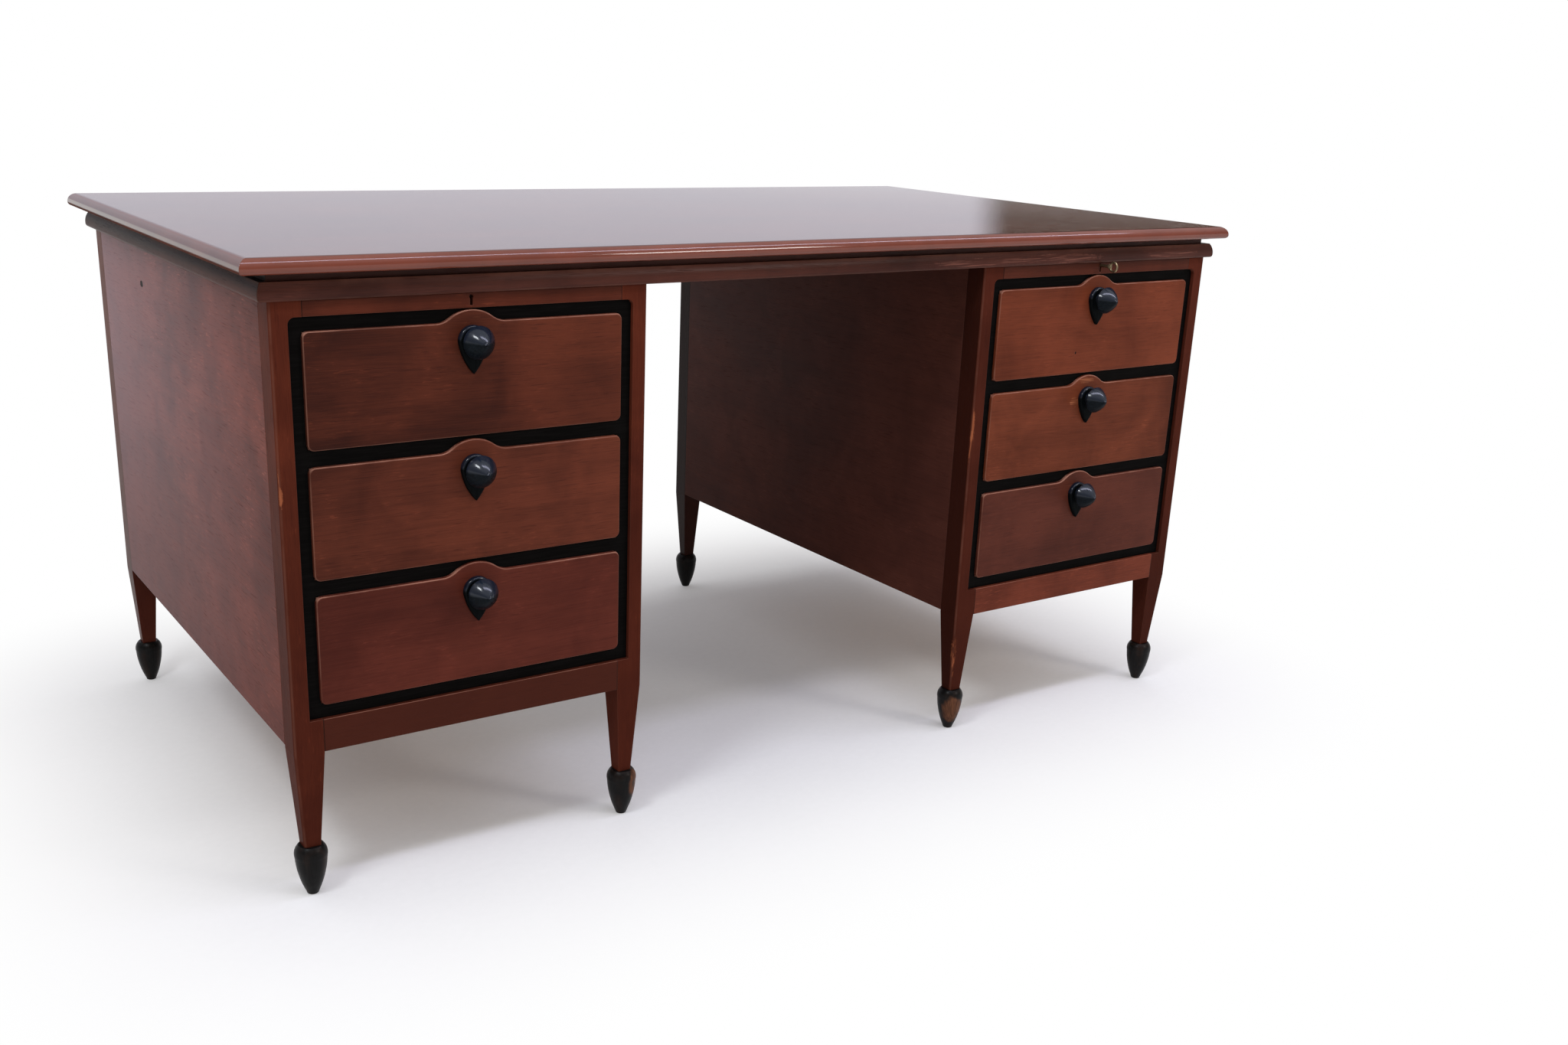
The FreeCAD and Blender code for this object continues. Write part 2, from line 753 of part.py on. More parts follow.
def build_pedestal(side, centre):
    outward = -1 if side == "left" else 1
    feet = []
    stiles = []
    for direction in (-1, 1):
        place_word = "outer" if direction == outward else "inner"
        x = centre + LEG_AXIS * direction
        for row, y in LEG_AXES_Y.items():
            name = f"{side}_{row}_{place_word}_leg"
            facing = -1 if row == "front" else 1
            tools = [
                side_tongue(f"{name}_groove", centre, direction, S.glue_gap),
                foot_spigot_hole(f"{name}_spigot_hole", x, y),
                leg_dowel(f"{name}_dowel_hole", x, y, S.glue_gap),
            ]
            if row == "front":
                depth = (FRONT - S.cut_overrun, FRONT + S.stile_depth)
                tools.append(stile(f"{name}_rebate", centre, direction, depth, S.cut_overrun, ZERO))
                for rail in RAILS:
                    tools.append(rail_tenon(f"{name}_{rail}_mortise", centre, rail, S.glue_gap))
                depth = (FRAME_FACE, FRONT + S.stile_depth)
                stiles.append(stile(f"{side}_{place_word}_stile", centre, direction, depth, ZERO, ZERO))
            else:
                tools.append(back_tongue(f"{name}_back_groove", centre, S.glue_gap))
            blank = leg_blank(name, x, y, (direction, facing))
            node(name, cut(f"{name}_cut", blank, tools))
            feet.append(foot(f"{side}_{row}_{place_word}_foot", x, y))

        faces = ordered(PEDESTAL_HALF * direction, PANEL_INNER * direction)
        faces = (centre + faces[0], centre + faces[1])
        inside = (FRONT + S.leg_width, BACK - S.leg_width)
        height = (S.side_panel_level, FRAME_UNDERSIDE)
        panel = board(f"{side}_{place_word}_panel_board", faces, inside, height)
        tongue = side_tongue(f"{side}_{place_word}_tongue", centre, direction, ZERO)
        node(f"{side}_{place_word}_panel", fused(f"{side}_{place_word}_panel_tongued", [panel, tongue]))
    node(f"{side}_feet", group(f"{side}_foot_set", feet))

    height = (S.side_panel_level, FRAME_UNDERSIDE)
    panel = board(f"{side}_back_board", span(centre, LEG_INNER), BACK_PANEL_Y, height)
    tongue = back_tongue(f"{side}_back_tongue", centre, ZERO)
    node(f"{side}_back_panel", fused(f"{side}_back_tongued", [panel, tongue]))

    pocket = board(
        f"{side}_lock_pocket",
        span(centre, S.lock_width / 2 + S.glue_gap),
        (LOCK_FACE, FRONT + S.leg_width + S.cut_overrun),
        (RAIL_UNDERSIDE - S.cut_overrun, FRAME_UNDERSIDE + S.cut_overrun),
    )
    top_rail = rail_blank(f"{side}_top_rail", centre, "top_rail")
    tools = [pocket, keyhole(f"{side}_rail_keyhole", centre)]
    node(f"{side}_top_rail", cut(f"{side}_top_rail_cut", top_rail, tools))
    node(f"{side}_bottom_rail", rail_blank(f"{side}_bottom_rail", centre, "bottom_rail"))

    strips = []
    for strip, z in STRIP_LEVELS.items():
        y = (FRAME_FACE, FRAME_FACE + S.divider_depth)
        piece = board(f"{side}_{strip}_strip", span(centre, LEG_INNER), y, z)
        if strip == "top":
            slot_z = (z[0] - S.cut_overrun, z[1] + S.cut_overrun)
            piece = cut(f"{side}_top_strip_cut", piece, [lock_slot(f"{side}_strip_slot", centre, slot_z)])
        strips.append(piece)
    node(f"{side}_ebonised_frame", group(f"{side}_frame_set", stiles + strips))

    runners = []
    for strip, z in STRIP_LEVELS.items():
        for direction in (-1, 1):
            ledge = (LEG_INNER - S.runner_ledge) * direction
            x = ordered(PANEL_INNER * direction, ledge)
            x = (centre + x[0], centre + x[1])
            y = (FRAME_FACE + S.divider_depth, BACK - S.leg_width)
            end = "left" if direction < 0 else "right"
            runners.append(board(f"{side}_{strip}_{end}_runner", x, y, z))
            if strip == "top":
                continue
            x = ordered(PANEL_INNER * direction, LEG_INNER * direction)
            x = (centre + x[0], centre + x[1])
            runners.append(board(f"{side}_{strip}_{end}_guide", x, y, (z[1], z[1] + S.guide_height)))
    node(f"{side}_drawer_runners", group(f"{side}_runner_set", runners))


# Locks and key

def lock_case(side, centre):
    z = (RAIL_UNDERSIDE, FRAME_UNDERSIDE - S.glue_gap)
    case = board(f"{side}_lock_box", span(centre, S.lock_width / 2), (LOCK_FACE, LOCK_BACK), z)
    wall = S.lock_wall
    hollow = board(
        f"{side}_lock_hollow",
        span(centre, S.lock_width / 2 - wall),
        (LOCK_FACE + wall, LOCK_BACK - wall),
        (z[0] - S.cut_overrun, z[1] - wall),
    )
    return cut(f"{side}_lock_case", case, [hollow, keyhole(f"{side}_case_keyhole", centre)])


def build_locks():
    cases = [lock_case(side, centre) for side, centre in PEDESTALS.items()]
    node("lock_cases", group("lock_case_pair", cases))
    low = STRIP_LEVELS["top"][0] + S.running_gap
    for side, centre in PEDESTALS.items():
        x = span(centre, S.bolt_width / 2)
        z = (low, RAIL_UNDERSIDE + S.bolt_top)
        node(f"{side}_lock_bolt", board(f"{side}_bolt", x, (BOLT_FACE, BOLT_BACK), z))

    centre = PEDESTALS["right"]
    bit_end = BOLT_FACE - S.running_gap * 2
    shank_y = (FRONT - S.key_reach, bit_end)
    shank = level_rod("key_shank", centre, shank_y, KEY_LEVEL, S.key_shank_diameter / 2)
    bit = board(
        "key_bit",
        span(centre, S.key_bit_thickness / 2),
        (bit_end - S.key_bit_length, bit_end),
        (KEY_LEVEL - S.key_bit_drop, KEY_LEVEL),
    )
    collar_y = (FRONT - S.key_reach, FRONT - S.key_reach + S.key_collar_length)
    collar = level_rod("key_collar", centre, collar_y, KEY_LEVEL, S.key_collar_diameter / 2)
    bow = doc.addObject("Part::Torus", "key_bow")
    bind(bow, Radius1=S.key_bow_radius, Radius2=S.key_bow_wire_radius)
    bow_y = FRONT - S.key_reach - S.key_bow_radius
    place(bow, centre, bow_y, KEY_LEVEL, FreeCAD.Rotation(FreeCAD.Vector(0, 1, 0), 90))
    node("key", fused("key_whole", [shank, bit, collar, bow]))


# Drawers

def drawer_front_path():
    """The outline of a drawer front, from its lower left corner, with the hump in its top edge."""
    half = FRONT_HALF
    round_corner = S.front_corner_round
    near = round_corner * ROUND_SHARE
    high = FRONT_HEIGHT
    rise = S.hump_height
    reach = S.hump_half_width
    slope = (rise * rise + reach * reach).root()
    crown = S.hump_crown_radius
    fillet = slope * slope / rise / 2 - crown
    crown_x = crown * rise * reach * 2 / (slope * slope)
    crown_z = high + rise - crown * rise * rise * 2 / (slope * slope)
    swing_x = reach - fillet * rise / slope
    swing_z = high + fillet - fillet * reach / slope
    return [
        [(half - round_corner, ZERO)],
        [(half - near, near), (half, round_corner)],
        [(half, high - round_corner)],
        [(half - near, high - near), (half - round_corner, high)],
        [(reach, high)],
        [(swing_x, swing_z), (crown_x, crown_z)],
        [(ZERO, high + rise), (-crown_x, crown_z)],
        [(-swing_x, swing_z), (-reach, high)],
        [(round_corner - half, high)],
        [(near - half, high - near), (-half, high - round_corner)],
        [(-half, round_corner)],
        [(near - half, near), (round_corner - half, ZERO)],
    ]


FRONT_THICKNESS = S.frame_recess - S.running_gap
BOX_HALF = LEG_INNER - S.running_gap * 2


def drawer_front(name, centre, level, index):
    body = new_body(f"{name}_body")
    face = padded(body, f"{name}_face", "XZ_Plane", drawer_front_path(), FRONT_THICKNESS)
    front = -FRONT_THICKNESS.value
    soft = eased(body, f"{name}_soft", face, S.front_edge_round, lambda edge: lies_at(edge, "Y", front))
    low = OPENING_LOW[index] + S.running_gap - level
    high = OPENING_HIGH[index] - S.running_gap - level
    inset_path = rectangle(span(ZERO, BOX_HALF), (low, high))
    inset = padded(body, f"{name}_inset", "XZ_Plane", inset_path, S.inset_thickness, None, True)
    body.Tip = inset
    return place(body, centre, FRAME_FACE - S.running_gap, level)


def rose_path():
    waist_x = S.rose_radius * ROSE_WAIST_SHARES[0]
    waist_z = -S.rose_radius * ROSE_WAIST_SHARES[1]
    side_x = S.rose_radius * ROSE_SIDE_SHARES[0]
    side_z = -S.rose_drop * ROSE_SIDE_SHARES[1]
    return [
        [(ZERO, S.rose_radius), (-waist_x, waist_z)],
        [(-side_x, side_z), (ZERO, -S.rose_drop)],
        [(side_x, side_z), (waist_x, waist_z)],
    ]


def drawer_rose(name, centre, level):
    body = new_body(f"{name}_body")
    plate = padded(body, f"{name}_plate", "XZ_Plane", rose_path(), S.rose_thickness)
    front = -SIZES["rose_thickness"]
    soft = eased(body, f"{name}_soft", plate, S.rose_edge_round, lambda edge: lies_at(edge, "Y", front))
    body.Tip = soft
    return place(body, centre, FRONT, level)


def drawer_knob(name, centre, level):
    body = new_body(f"{name}_body")
    reach = S.knob_projection
    head = S.knob_head_radius
    neck = S.knob_neck_radius
    base = S.rose_thickness
    stem = S.knob_stem_radius
    swell = neck * KNOB_SWELL_SHARE
    path = [
        [(ZERO, S.knob_stem_length)],
        [(stem, S.knob_stem_length)],
        [(stem, -base)],
        [(swell, -base)],
        [(neck, -reach * KNOB_NECK_SHARES[0]), (swell, -reach * KNOB_NECK_SHARES[1])],
        [
            (head * KNOB_UNDERSIDE_SHARES[0], -reach * KNOB_UNDERSIDE_SHARES[1]),
            (head, -reach * KNOB_EQUATOR_SHARE),
        ],
        [
            (head * KNOB_DOME_SHARES[0], -reach * KNOB_DOME_SHARES[1]),
            (head * KNOB_TIP_SHARES[0], -reach * KNOB_TIP_SHARES[1]),
        ],
        [(head * KNOB_POINT_SHARES[0], -reach * KNOB_POINT_SHARES[1]), (head * KNOB_END_SHARE, -reach)],
        [(ZERO, -reach)],
    ]
    body.Tip = turned(body, f"{name}_turning", "XY_Plane", path)
    return place(body, centre, FRONT, level)


def drawer_box(name, centre, index):
    low = OPENING_LOW[index] + S.running_gap
    high = OPENING_HIGH[index] - S.box_side_drop
    front = FRAME_FACE - S.running_gap + S.inset_thickness
    back = front + S.box_length
    thick = S.box_side_thickness
    inner = BOX_HALF - thick
    bottom = (low + S.box_bottom_rise, low + S.box_bottom_rise + S.box_bottom_thickness)
    pieces = []
    for direction in (-1, 1):
        x = ordered(BOX_HALF * direction, inner * direction)
        x = (centre + x[0], centre + x[1])
        end = "left" if direction < 0 else "right"
        pieces.append(board(f"{name}_{end}_side", x, (front, back), (low, high)))
    across = span(centre, inner)
    pieces.append(board(f"{name}_bottom", across, (front, back), bottom))
    pieces.append(board(f"{name}_back", across, (back - thick, back), (bottom[1], high)))
    return group(f"{name}_set", pieces)


def build_drawer(side, centre, index, word):
    name = f"{side}_{word}_drawer"
    level = FRONT_LEVELS[index]
    knob_level = level + FRONT_HEIGHT - S.knob_drop
    hole_y = (FRONT - S.rose_thickness - S.cut_overrun, FRONT + S.knob_stem_length + S.glue_gap)
    hole_radius = S.knob_stem_radius + S.glue_gap
    tools = [level_rod(f"{name}_knob_hole", centre, hole_y, knob_level, hole_radius)]
    if word == "top":
        high = OPENING_HIGH[index]
        mortise = (high - S.bolt_throw - S.running_gap, high + S.cut_overrun)
        tools.append(lock_slot(f"{name}_bolt_mortise", centre, mortise))
    front = drawer_front(f"{name}_front", centre, level, index)
    node(f"{name}_front", cut(f"{name}_front_cut", front, tools))
    node(f"{name}_box", drawer_box(f"{name}_box", centre, index))
    rose = drawer_rose(f"{name}_rose", centre, knob_level)
    rose_hole = level_rod(f"{name}_rose_hole", centre, hole_y, knob_level, hole_radius)
    node(f"{name}_rose", cut(f"{name}_rose_cut", rose, [rose_hole]))
    node(f"{name}_knob", drawer_knob(f"{name}_knob", centre, knob_level))


build_top()
for pedestal_side, pedestal_centre in PEDESTALS.items():
    build_pedestal(pedestal_side, pedestal_centre)
build_locks()
for pedestal_side, pedestal_centre in PEDESTALS.items():
    for drawer_index, drawer_word in enumerate(("bottom", "middle", "top")):
        build_drawer(pedestal_side, pedestal_centre, drawer_index, drawer_word)
doc.recompute()

# Every object has to be whole before anything is written
for obj in doc.Objects:
    if "Invalid" in obj.State or "Error" in obj.State:
        raise RuntimeError(f"{obj.Name} failed: {obj.State}")
for obj in NODES:
    if obj.Shape.isNull() or not obj.Shape.isValid():
        raise RuntimeError(f"{obj.Label} has no valid shape")

os.makedirs("parts", exist_ok=True)
for obj in NODES:
    obj.Shape.exportStep(f"parts/{obj.Label}.step")
print(f"{len(NODES)} nodes written")
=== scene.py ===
"""Looks of the mahogany pedestal desk: its finishes, the floor, the light and the camera."""

from __future__ import annotations

import logging
import math
from dataclasses import dataclass, field, replace
from enum import Enum
from typing import Any, Callable, Iterable, Mapping

import bpy
from mathutils import Matrix, Vector


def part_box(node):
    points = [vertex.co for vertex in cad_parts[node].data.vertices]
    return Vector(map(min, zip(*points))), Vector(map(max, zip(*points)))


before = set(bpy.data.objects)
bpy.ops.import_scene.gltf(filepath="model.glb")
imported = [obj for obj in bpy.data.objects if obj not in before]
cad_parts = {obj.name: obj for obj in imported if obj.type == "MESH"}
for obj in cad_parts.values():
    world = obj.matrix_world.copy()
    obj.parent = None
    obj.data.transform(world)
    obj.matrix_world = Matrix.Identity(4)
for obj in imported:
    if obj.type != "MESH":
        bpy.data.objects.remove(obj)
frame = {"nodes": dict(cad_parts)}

LOG = logging.getLogger("pedestal_desk")

Colour = tuple[float, float, float]
Point = tuple[float, float, float]
Span = tuple[float, float]

ORIGIN: Point = (0.0, 0.0, 0.0)
UPWARD: Point = (0.0, 0.0, 1.0)
DOWNWARD: Point = (0.0, 0.0, -1.0)
FORWARD: Point = (0.0, -1.0, 0.0)
LEFTWARD: Point = (-1.0, 0.0, 0.0)
WHITE: Colour = (1.0, 1.0, 1.0)

SCREEN_MAX = 255.0
SCREEN_KNEE = 0.04045
SCREEN_SLOPE = 12.92
SCREEN_LIFT = 0.055
SCREEN_POWER = 2.4


def paint(red: float, green: float, blue: float) -> Colour:
    """Turn a colour given on a screen into the linear light that shaders use.

    Args:
        red: Red from 0 to 255.
        green: Green from 0 to 255.
        blue: Blue from 0 to 255.

    Returns:
        The linear colour, each part from 0 to 1.
    """
    parts = []
    for part in (red, green, blue):
        share = part / SCREEN_MAX
        if share <= SCREEN_KNEE:
            parts.append(share / SCREEN_SLOPE)
        else:
            parts.append(((share + SCREEN_LIFT) / (1.0 + SCREEN_LIFT)) ** SCREEN_POWER)
    return (parts[0], parts[1], parts[2])


def scaled(colour: Colour, times: float) -> Colour:
    """Make a colour lighter or darker, no part above 1."""
    return tuple(min(part * times, 1.0) for part in colour)


class Grain(Enum):
    """Axis along which a board's grain runs."""

    ALONG_X = 0
    ALONG_Y = 1
    ALONG_Z = 2

    @property
    def turn(self) -> Point:
        """Rotation that lays the grain along the pattern's own X."""
        if self is Grain.ALONG_Y:
            return (0.0, 0.0, -math.pi / 2)
        if self is Grain.ALONG_Z:
            return (0.0, math.pi / 2, 0.0)
        return ORIGIN


class Side(Enum):
    """The two pedestals, as seen from the front."""

    LEFT = "left"
    RIGHT = "right"


class Level(Enum):
    """The three drawers of a pedestal."""

    TOP = "top"
    MIDDLE = "middle"
    BOTTOM = "bottom"


class MarkKind(Enum):
    """What a mark on a board shows."""

    CHIP = "chip"
    HOLE = "hole"
    RUB = "rub"


@dataclass(frozen=True)
class Mark:
    """One mark of use at a known place.

    Attributes:
        kind: What the mark shows.
        share: Its middle as shares of its node's box, from the low corner to the high one.
        reach: Its half sizes along X, Y and Z, in metres.
    """

    kind: MarkKind
    share: Point
    reach: Point


@dataclass(frozen=True)
class Board:
    """The low and high corner of one node's box, in metres."""

    low: Point
    high: Point

    @classmethod
    def of(cls, node: str) -> Board:
        """Read a node's box from the frame."""
        low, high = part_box(node)
        return cls(tuple(low), tuple(high))

    def at(self, axis: int, share: float) -> float:
        """Place at a share of the box along one axis."""
        return self.low[axis] + (self.high[axis] - self.low[axis]) * share


@dataclass(frozen=True)
class Pattern:
    """One layer of noise in a finish.

    Attributes:
        along: Cells per metre along the grain.
        across: Cells per metre across the grain.
        detail: Number of finer layers.
        rough: Strength of the finer layers.
        warp: How far the noise bends itself.
        peaks: Values between which the noise is taken to rise from 0 to 1, where only its peaks count.
        tone: How far it changes the colour.
        dull: How far it changes the roughness.
        relief: How far it changes the relief.
    """

    along: float
    across: float
    detail: float = 2.0
    rough: float = 0.5
    warp: float = 0.0
    peaks: Span | None = None
    tone: float = 0.0
    dull: float = 0.0
    relief: float = 0.0


class Wire:
    """A socket that carries a value, with the operators that shader maths needs."""

    NOISE_MEAN = 0.5
    SMOOTH = {"interpolation_type": "SMOOTHSTEP"}

    def __init__(self, bench: Bench, socket: bpy.types.NodeSocket) -> None:
        """Keep the socket and the bench that adds nodes to its tree."""
        self.bench = bench
        self.socket = socket

    def _math(self, operation: str, *values: Any) -> Wire:
        """Add one Math node, with numbers or wires in the order of its sockets."""
        node = self.bench.add("ShaderNodeMath", {"operation": operation}, dict(enumerate(values)))
        return Wire(self.bench, node.outputs[0])

    def __add__(self, other: Any) -> Wire:
        """Sum."""
        return self._math("ADD", self, other)

    __radd__ = __add__

    def __sub__(self, other: Any) -> Wire:
        """Difference."""
        return self._math("SUBTRACT", self, other)

    def __rsub__(self, other: Any) -> Wire:
        """Difference from a number."""
        return self._math("SUBTRACT", other, self)

    def __mul__(self, other: Any) -> Wire:
        """Product."""
        return self._math("MULTIPLY", self, other)

    __rmul__ = __mul__

    def size(self) -> Wire:
        """The value without its sign."""
        return self._math("ABSOLUTE", self)

    def greatest(self, other: Any) -> Wire:
        """The greater of two values."""
        return self._math("MAXIMUM", self, other)

    def least(self, other: Any) -> Wire:
        """The smaller of two values."""
        return self._math("MINIMUM", self, other)

    def step(self, low: float, high: float) -> Wire:
        """Rise smoothly from 0 at low to 1 at high, which may be the lower of the two."""
        sockets = {"Value": self, "From Min": low, "From Max": high}
        return self.bench.out(self.bench.add("ShaderNodeMapRange", self.SMOOTH, sockets), "Result")

    def rise(self, low: float, high: float, least: float, most: float = 1.0) -> Wire:
        """Rise smoothly from a least value to a greatest one."""
        return self.step(low, high) * (most - least) + least

    def swing(self, amount: float) -> Wire:
        """Turn a noise into a value that moves up and down around 0."""
        return (self - self.NOISE_MEAN) * amount


class Bench:
    """Builds the nodes of one material or of the world."""

    COLOUR_MIX = {"data_type": "RGBA", "blend_type": "MIX", "clamp_factor": True}
    BEVEL = {"samples": 6}
    BENT = (0.004, 0.16)
    SLANTED = (0.03, 0.2)
    SPOT_EDGE = (1.0, 0.7)
    FLAT = (0.9, 0.995)

    def __init__(self, tree: bpy.types.NodeTree) -> None:
        """Start from an empty tree."""
        self.tree = tree
        tree.nodes.clear()

    def add(
        self,
        kind: str,
        settings: Mapping[str, Any] | None = None,
        sockets: Mapping[Any, Any] | None = None,
    ) -> bpy.types.Node:
        """Add any node.

        Args:
            kind: Blender's name of the node's type.
            settings: Its settings, set first.
            sockets: Values or wires of its inputs, by name or number; None leaves an input alone.

        Returns:
            The node.
        """
        node = self.tree.nodes.new(kind)
        for name, setting in (settings or {}).items():
            setattr(node, name, setting)
        for name, value in (sockets or {}).items():
            if isinstance(value, Wire):
                self.tree.links.new(value.socket, node.inputs[name])
            elif value is not None:
                node.inputs[name].default_value = value
        return node

    def out(self, node: bpy.types.Node, output: Any = 0) -> Wire:
        """Wrap one output of a node."""
        return Wire(self, node.outputs[output])

    def coordinates(self, kind: str = "Object") -> Wire:
        """Read the coordinates of the point that is shaded."""
        return self.out(self.add("ShaderNodeTexCoord"), kind)

    def parts(self, vector: Wire) -> tuple[Wire, ...]:
        """Split a vector into its X, Y and Z."""
        node = self.add("ShaderNodeSeparateXYZ", None, {0: vector})
        return tuple(self.out(node, axis) for axis in "XYZ")

    def vector(self, operation: str, output: str, *values: Any) -> Wire:
        """Add one Vector Math node, with vectors or wires in the order of its sockets."""
        node = self.add("ShaderNodeVectorMath", {"operation": operation}, dict(enumerate(values)))
        return self.out(node, output)

    def noise(self, place: Wire, pattern: Pattern) -> Wire:
        """Add a stretched noise.

        Args:
            place: Vector that the pattern is read at.
            pattern: The noise.

        Returns:
            The wire of the noise, 0.5 on average, or of its peaks.
        """
        stretch = (pattern.along, pattern.across, pattern.across)
        mapping = self.add("ShaderNodeMapping", None, {"Vector": place, "Scale": stretch})
        sockets = {
            "Vector": self.out(mapping),
            "Scale": 1.0,
            "Detail": pattern.detail,
            "Roughness": pattern.rough,
            "Distortion": pattern.warp,
        }
        noise = self.out(self.add("ShaderNodeTexNoise", None, sockets))
        return noise.step(*pattern.peaks) if pattern.peaks else noise

    def noises(self, place: Wire, *patterns: Pattern) -> dict[Pattern, Wire]:
        """Add several noises, each under its own pattern."""
        return {pattern: self.noise(place, pattern) for pattern in patterns}

    def mix(self, first: Any, second: Any, share: Any) -> Wire:
        """Mix two colours, from the first at share 0 to the second at share 1."""
        sockets = {0: share, 6: self.solid(first), 7: self.solid(second)}
        return self.out(self.add("ShaderNodeMix", self.COLOUR_MIX, sockets), 2)

    @staticmethod
    def solid(colour: Any) -> Any:
        """Give a plain colour its fourth part, and leave a wire as it is."""
        return colour if isinstance(colour, Wire) else (*colour, 1.0)

    def place(self, turn: Point = ORIGIN, shift: Point = ORIGIN) -> Wire:
        """Read the place on the piece in metres, turned along the grain and shifted so that boards differ."""
        sockets = {"Vector": self.coordinates(), "Rotation": turn, "Location": shift}
        return self.out(self.add("ShaderNodeMapping", None, sockets))

    def height(self) -> Wire:
        """Read the height above the floor in metres."""
        return self.parts(self.coordinates())[2]

    def facing(self, direction: Point, span: Span = FLAT) -> Wire:
        """Find the faces that look one way, between two shares of that direction in their normal."""
        normal = self.coordinates("Normal")
        return self.vector("DOT_PRODUCT", "Value", normal, direction).step(*span)

    def edge(self, radius: float) -> tuple[Wire, Wire]:
        """Round the shading of sharp edges, and find them.

        Args:
            radius: How far the rounding reaches from an edge, in metres.

        Returns:
            The rounded normal, and a value that grows from 0 on flat faces to 1 on edges.
        """
        rounded = self.out(self.add("ShaderNodeBevel", self.BEVEL, {"Radius": radius}))
        plain_normal = self.out(self.add("ShaderNodeNewGeometry"), "Normal")
        across, along, high = (part.size() for part in self.parts(plain_normal))
        flat = across.greatest(along).greatest(high)
        bent = 1.0 - self.vector("DOT_PRODUCT", "Value", rounded, plain_normal)
        return rounded, bent.step(*self.BENT).greatest((1.0 - flat).step(*self.SLANTED))

    def spot(self, mark: Mark, board: Board, ragged: Wire) -> Wire:
        """Cover the place of one mark.

        Args:
            mark: The mark.
            board: Box of the node that it is on.
            ragged: Noise that makes its outline uneven.

        Returns:
            A value of 1 in the mark and 0 away from it.
        """
        place = tuple(board.at(axis, share) for axis, share in enumerate(mark.share))
        size = tuple(1.0 / reach for reach in mark.reach)
        shift = tuple(-middle / reach for middle, reach in zip(place, mark.reach))
        sockets = {"Vector": self.coordinates(), "Scale": size, "Location": shift}
        local = self.out(self.add("ShaderNodeMapping", None, sockets))
        far = self.vector("LENGTH", "Value", local)
        return (far + ragged.swing(1.0)).step(*self.SPOT_EDGE)

    def bump(self, height: Wire, strength: float, distance: float, normal: Wire | None = None) -> Wire:
        """Raise the surface by a relief, of which one unit is a distance in metres."""
        sockets = {"Strength": strength, "Distance": distance, "Height": height, "Normal": normal}
        return self.out(self.add("ShaderNodeBump", None, sockets))

    def principled(self, sockets: Mapping[str, Any]) -> Wire:
        """Add the main shader."""
        return self.out(self.add("ShaderNodeBsdfPrincipled", None, sockets))

    def blend(self, first: Wire, second: Wire, share: Wire) -> Wire:
        """Mix two shaders."""
        return self.out(self.add("ShaderNodeMixShader", None, {0: share, 1: first, 2: second}))

    def surface(self, shader: Wire) -> None:
        """Give the finished shader to the material's output."""
        self.add("ShaderNodeOutputMaterial", None, {"Surface": shader})


def new_material(name: str) -> tuple[bpy.types.Material, Bench]:
    """Make an empty material and the bench that fills it."""
    material = bpy.data.materials.new(name)
    material.use_nodes = True
    return material, Bench(material.node_tree)


def total(noises: Mapping[Pattern, Wire], weigh: Callable[[Pattern], float]) -> Wire:
    """Add up noises, each by its own weight.

    Args:
        noises: The noises.
        weigh: Gives the weight of a pattern; those of weight 0 are left out.

    Returns:
        The wire of the sum.
    """
    parts = []
    for pattern, noise in noises.items():
        weight = weigh(pattern)
        if weight:
            parts.append(noise * weight if pattern.peaks else noise.swing(weight))
    return sum(parts[1:], parts[0])


class Finish:
    """What can be laid on nodes of the frame."""

    def shader(self, bench: Bench, box: Board) -> Wire:
        """Build the finish.

        Args:
            bench: Bench of the material.
            box: Box of the node, which places its marks.

        Returns:
            The wire of the shader.
        """
        raise NotImplementedError

    def lay(self, name: str, *nodes: str) -> None:
        """Make the material and give it to nodes of the frame.

        Args:
            name: Name of the material.
            nodes: Names of the nodes; the box of the first one places its marks.
        """
        material, bench = new_material(name)
        bench.surface(self.shader(bench, Board.of(nodes[0])))
        for node in nodes:
            for slot in frame["nodes"][node].material_slots:
                slot.material = material
            LOG.info("%s: %s", node, name)


@dataclass(frozen=True)
class Piece:
    """One mahogany board while its finish is built: its bench, its box and its noises."""

    bench: Bench
    box: Board
    noises: Mapping[Pattern, Wire]


@dataclass
class Skin:
    """What a mahogany board's shader gets: colour, roughness, relief, clear coat and pale haze."""

    colour: Wire
    rough: Wire
    relief: Wire
    coat: Wire | float
    hazy: Wire | None = None

    def tint(self, colour: Colour, share: Wire) -> None:
        """Lay another colour over the board."""
        self.colour = self.colour.bench.mix(self.colour, colour, share)


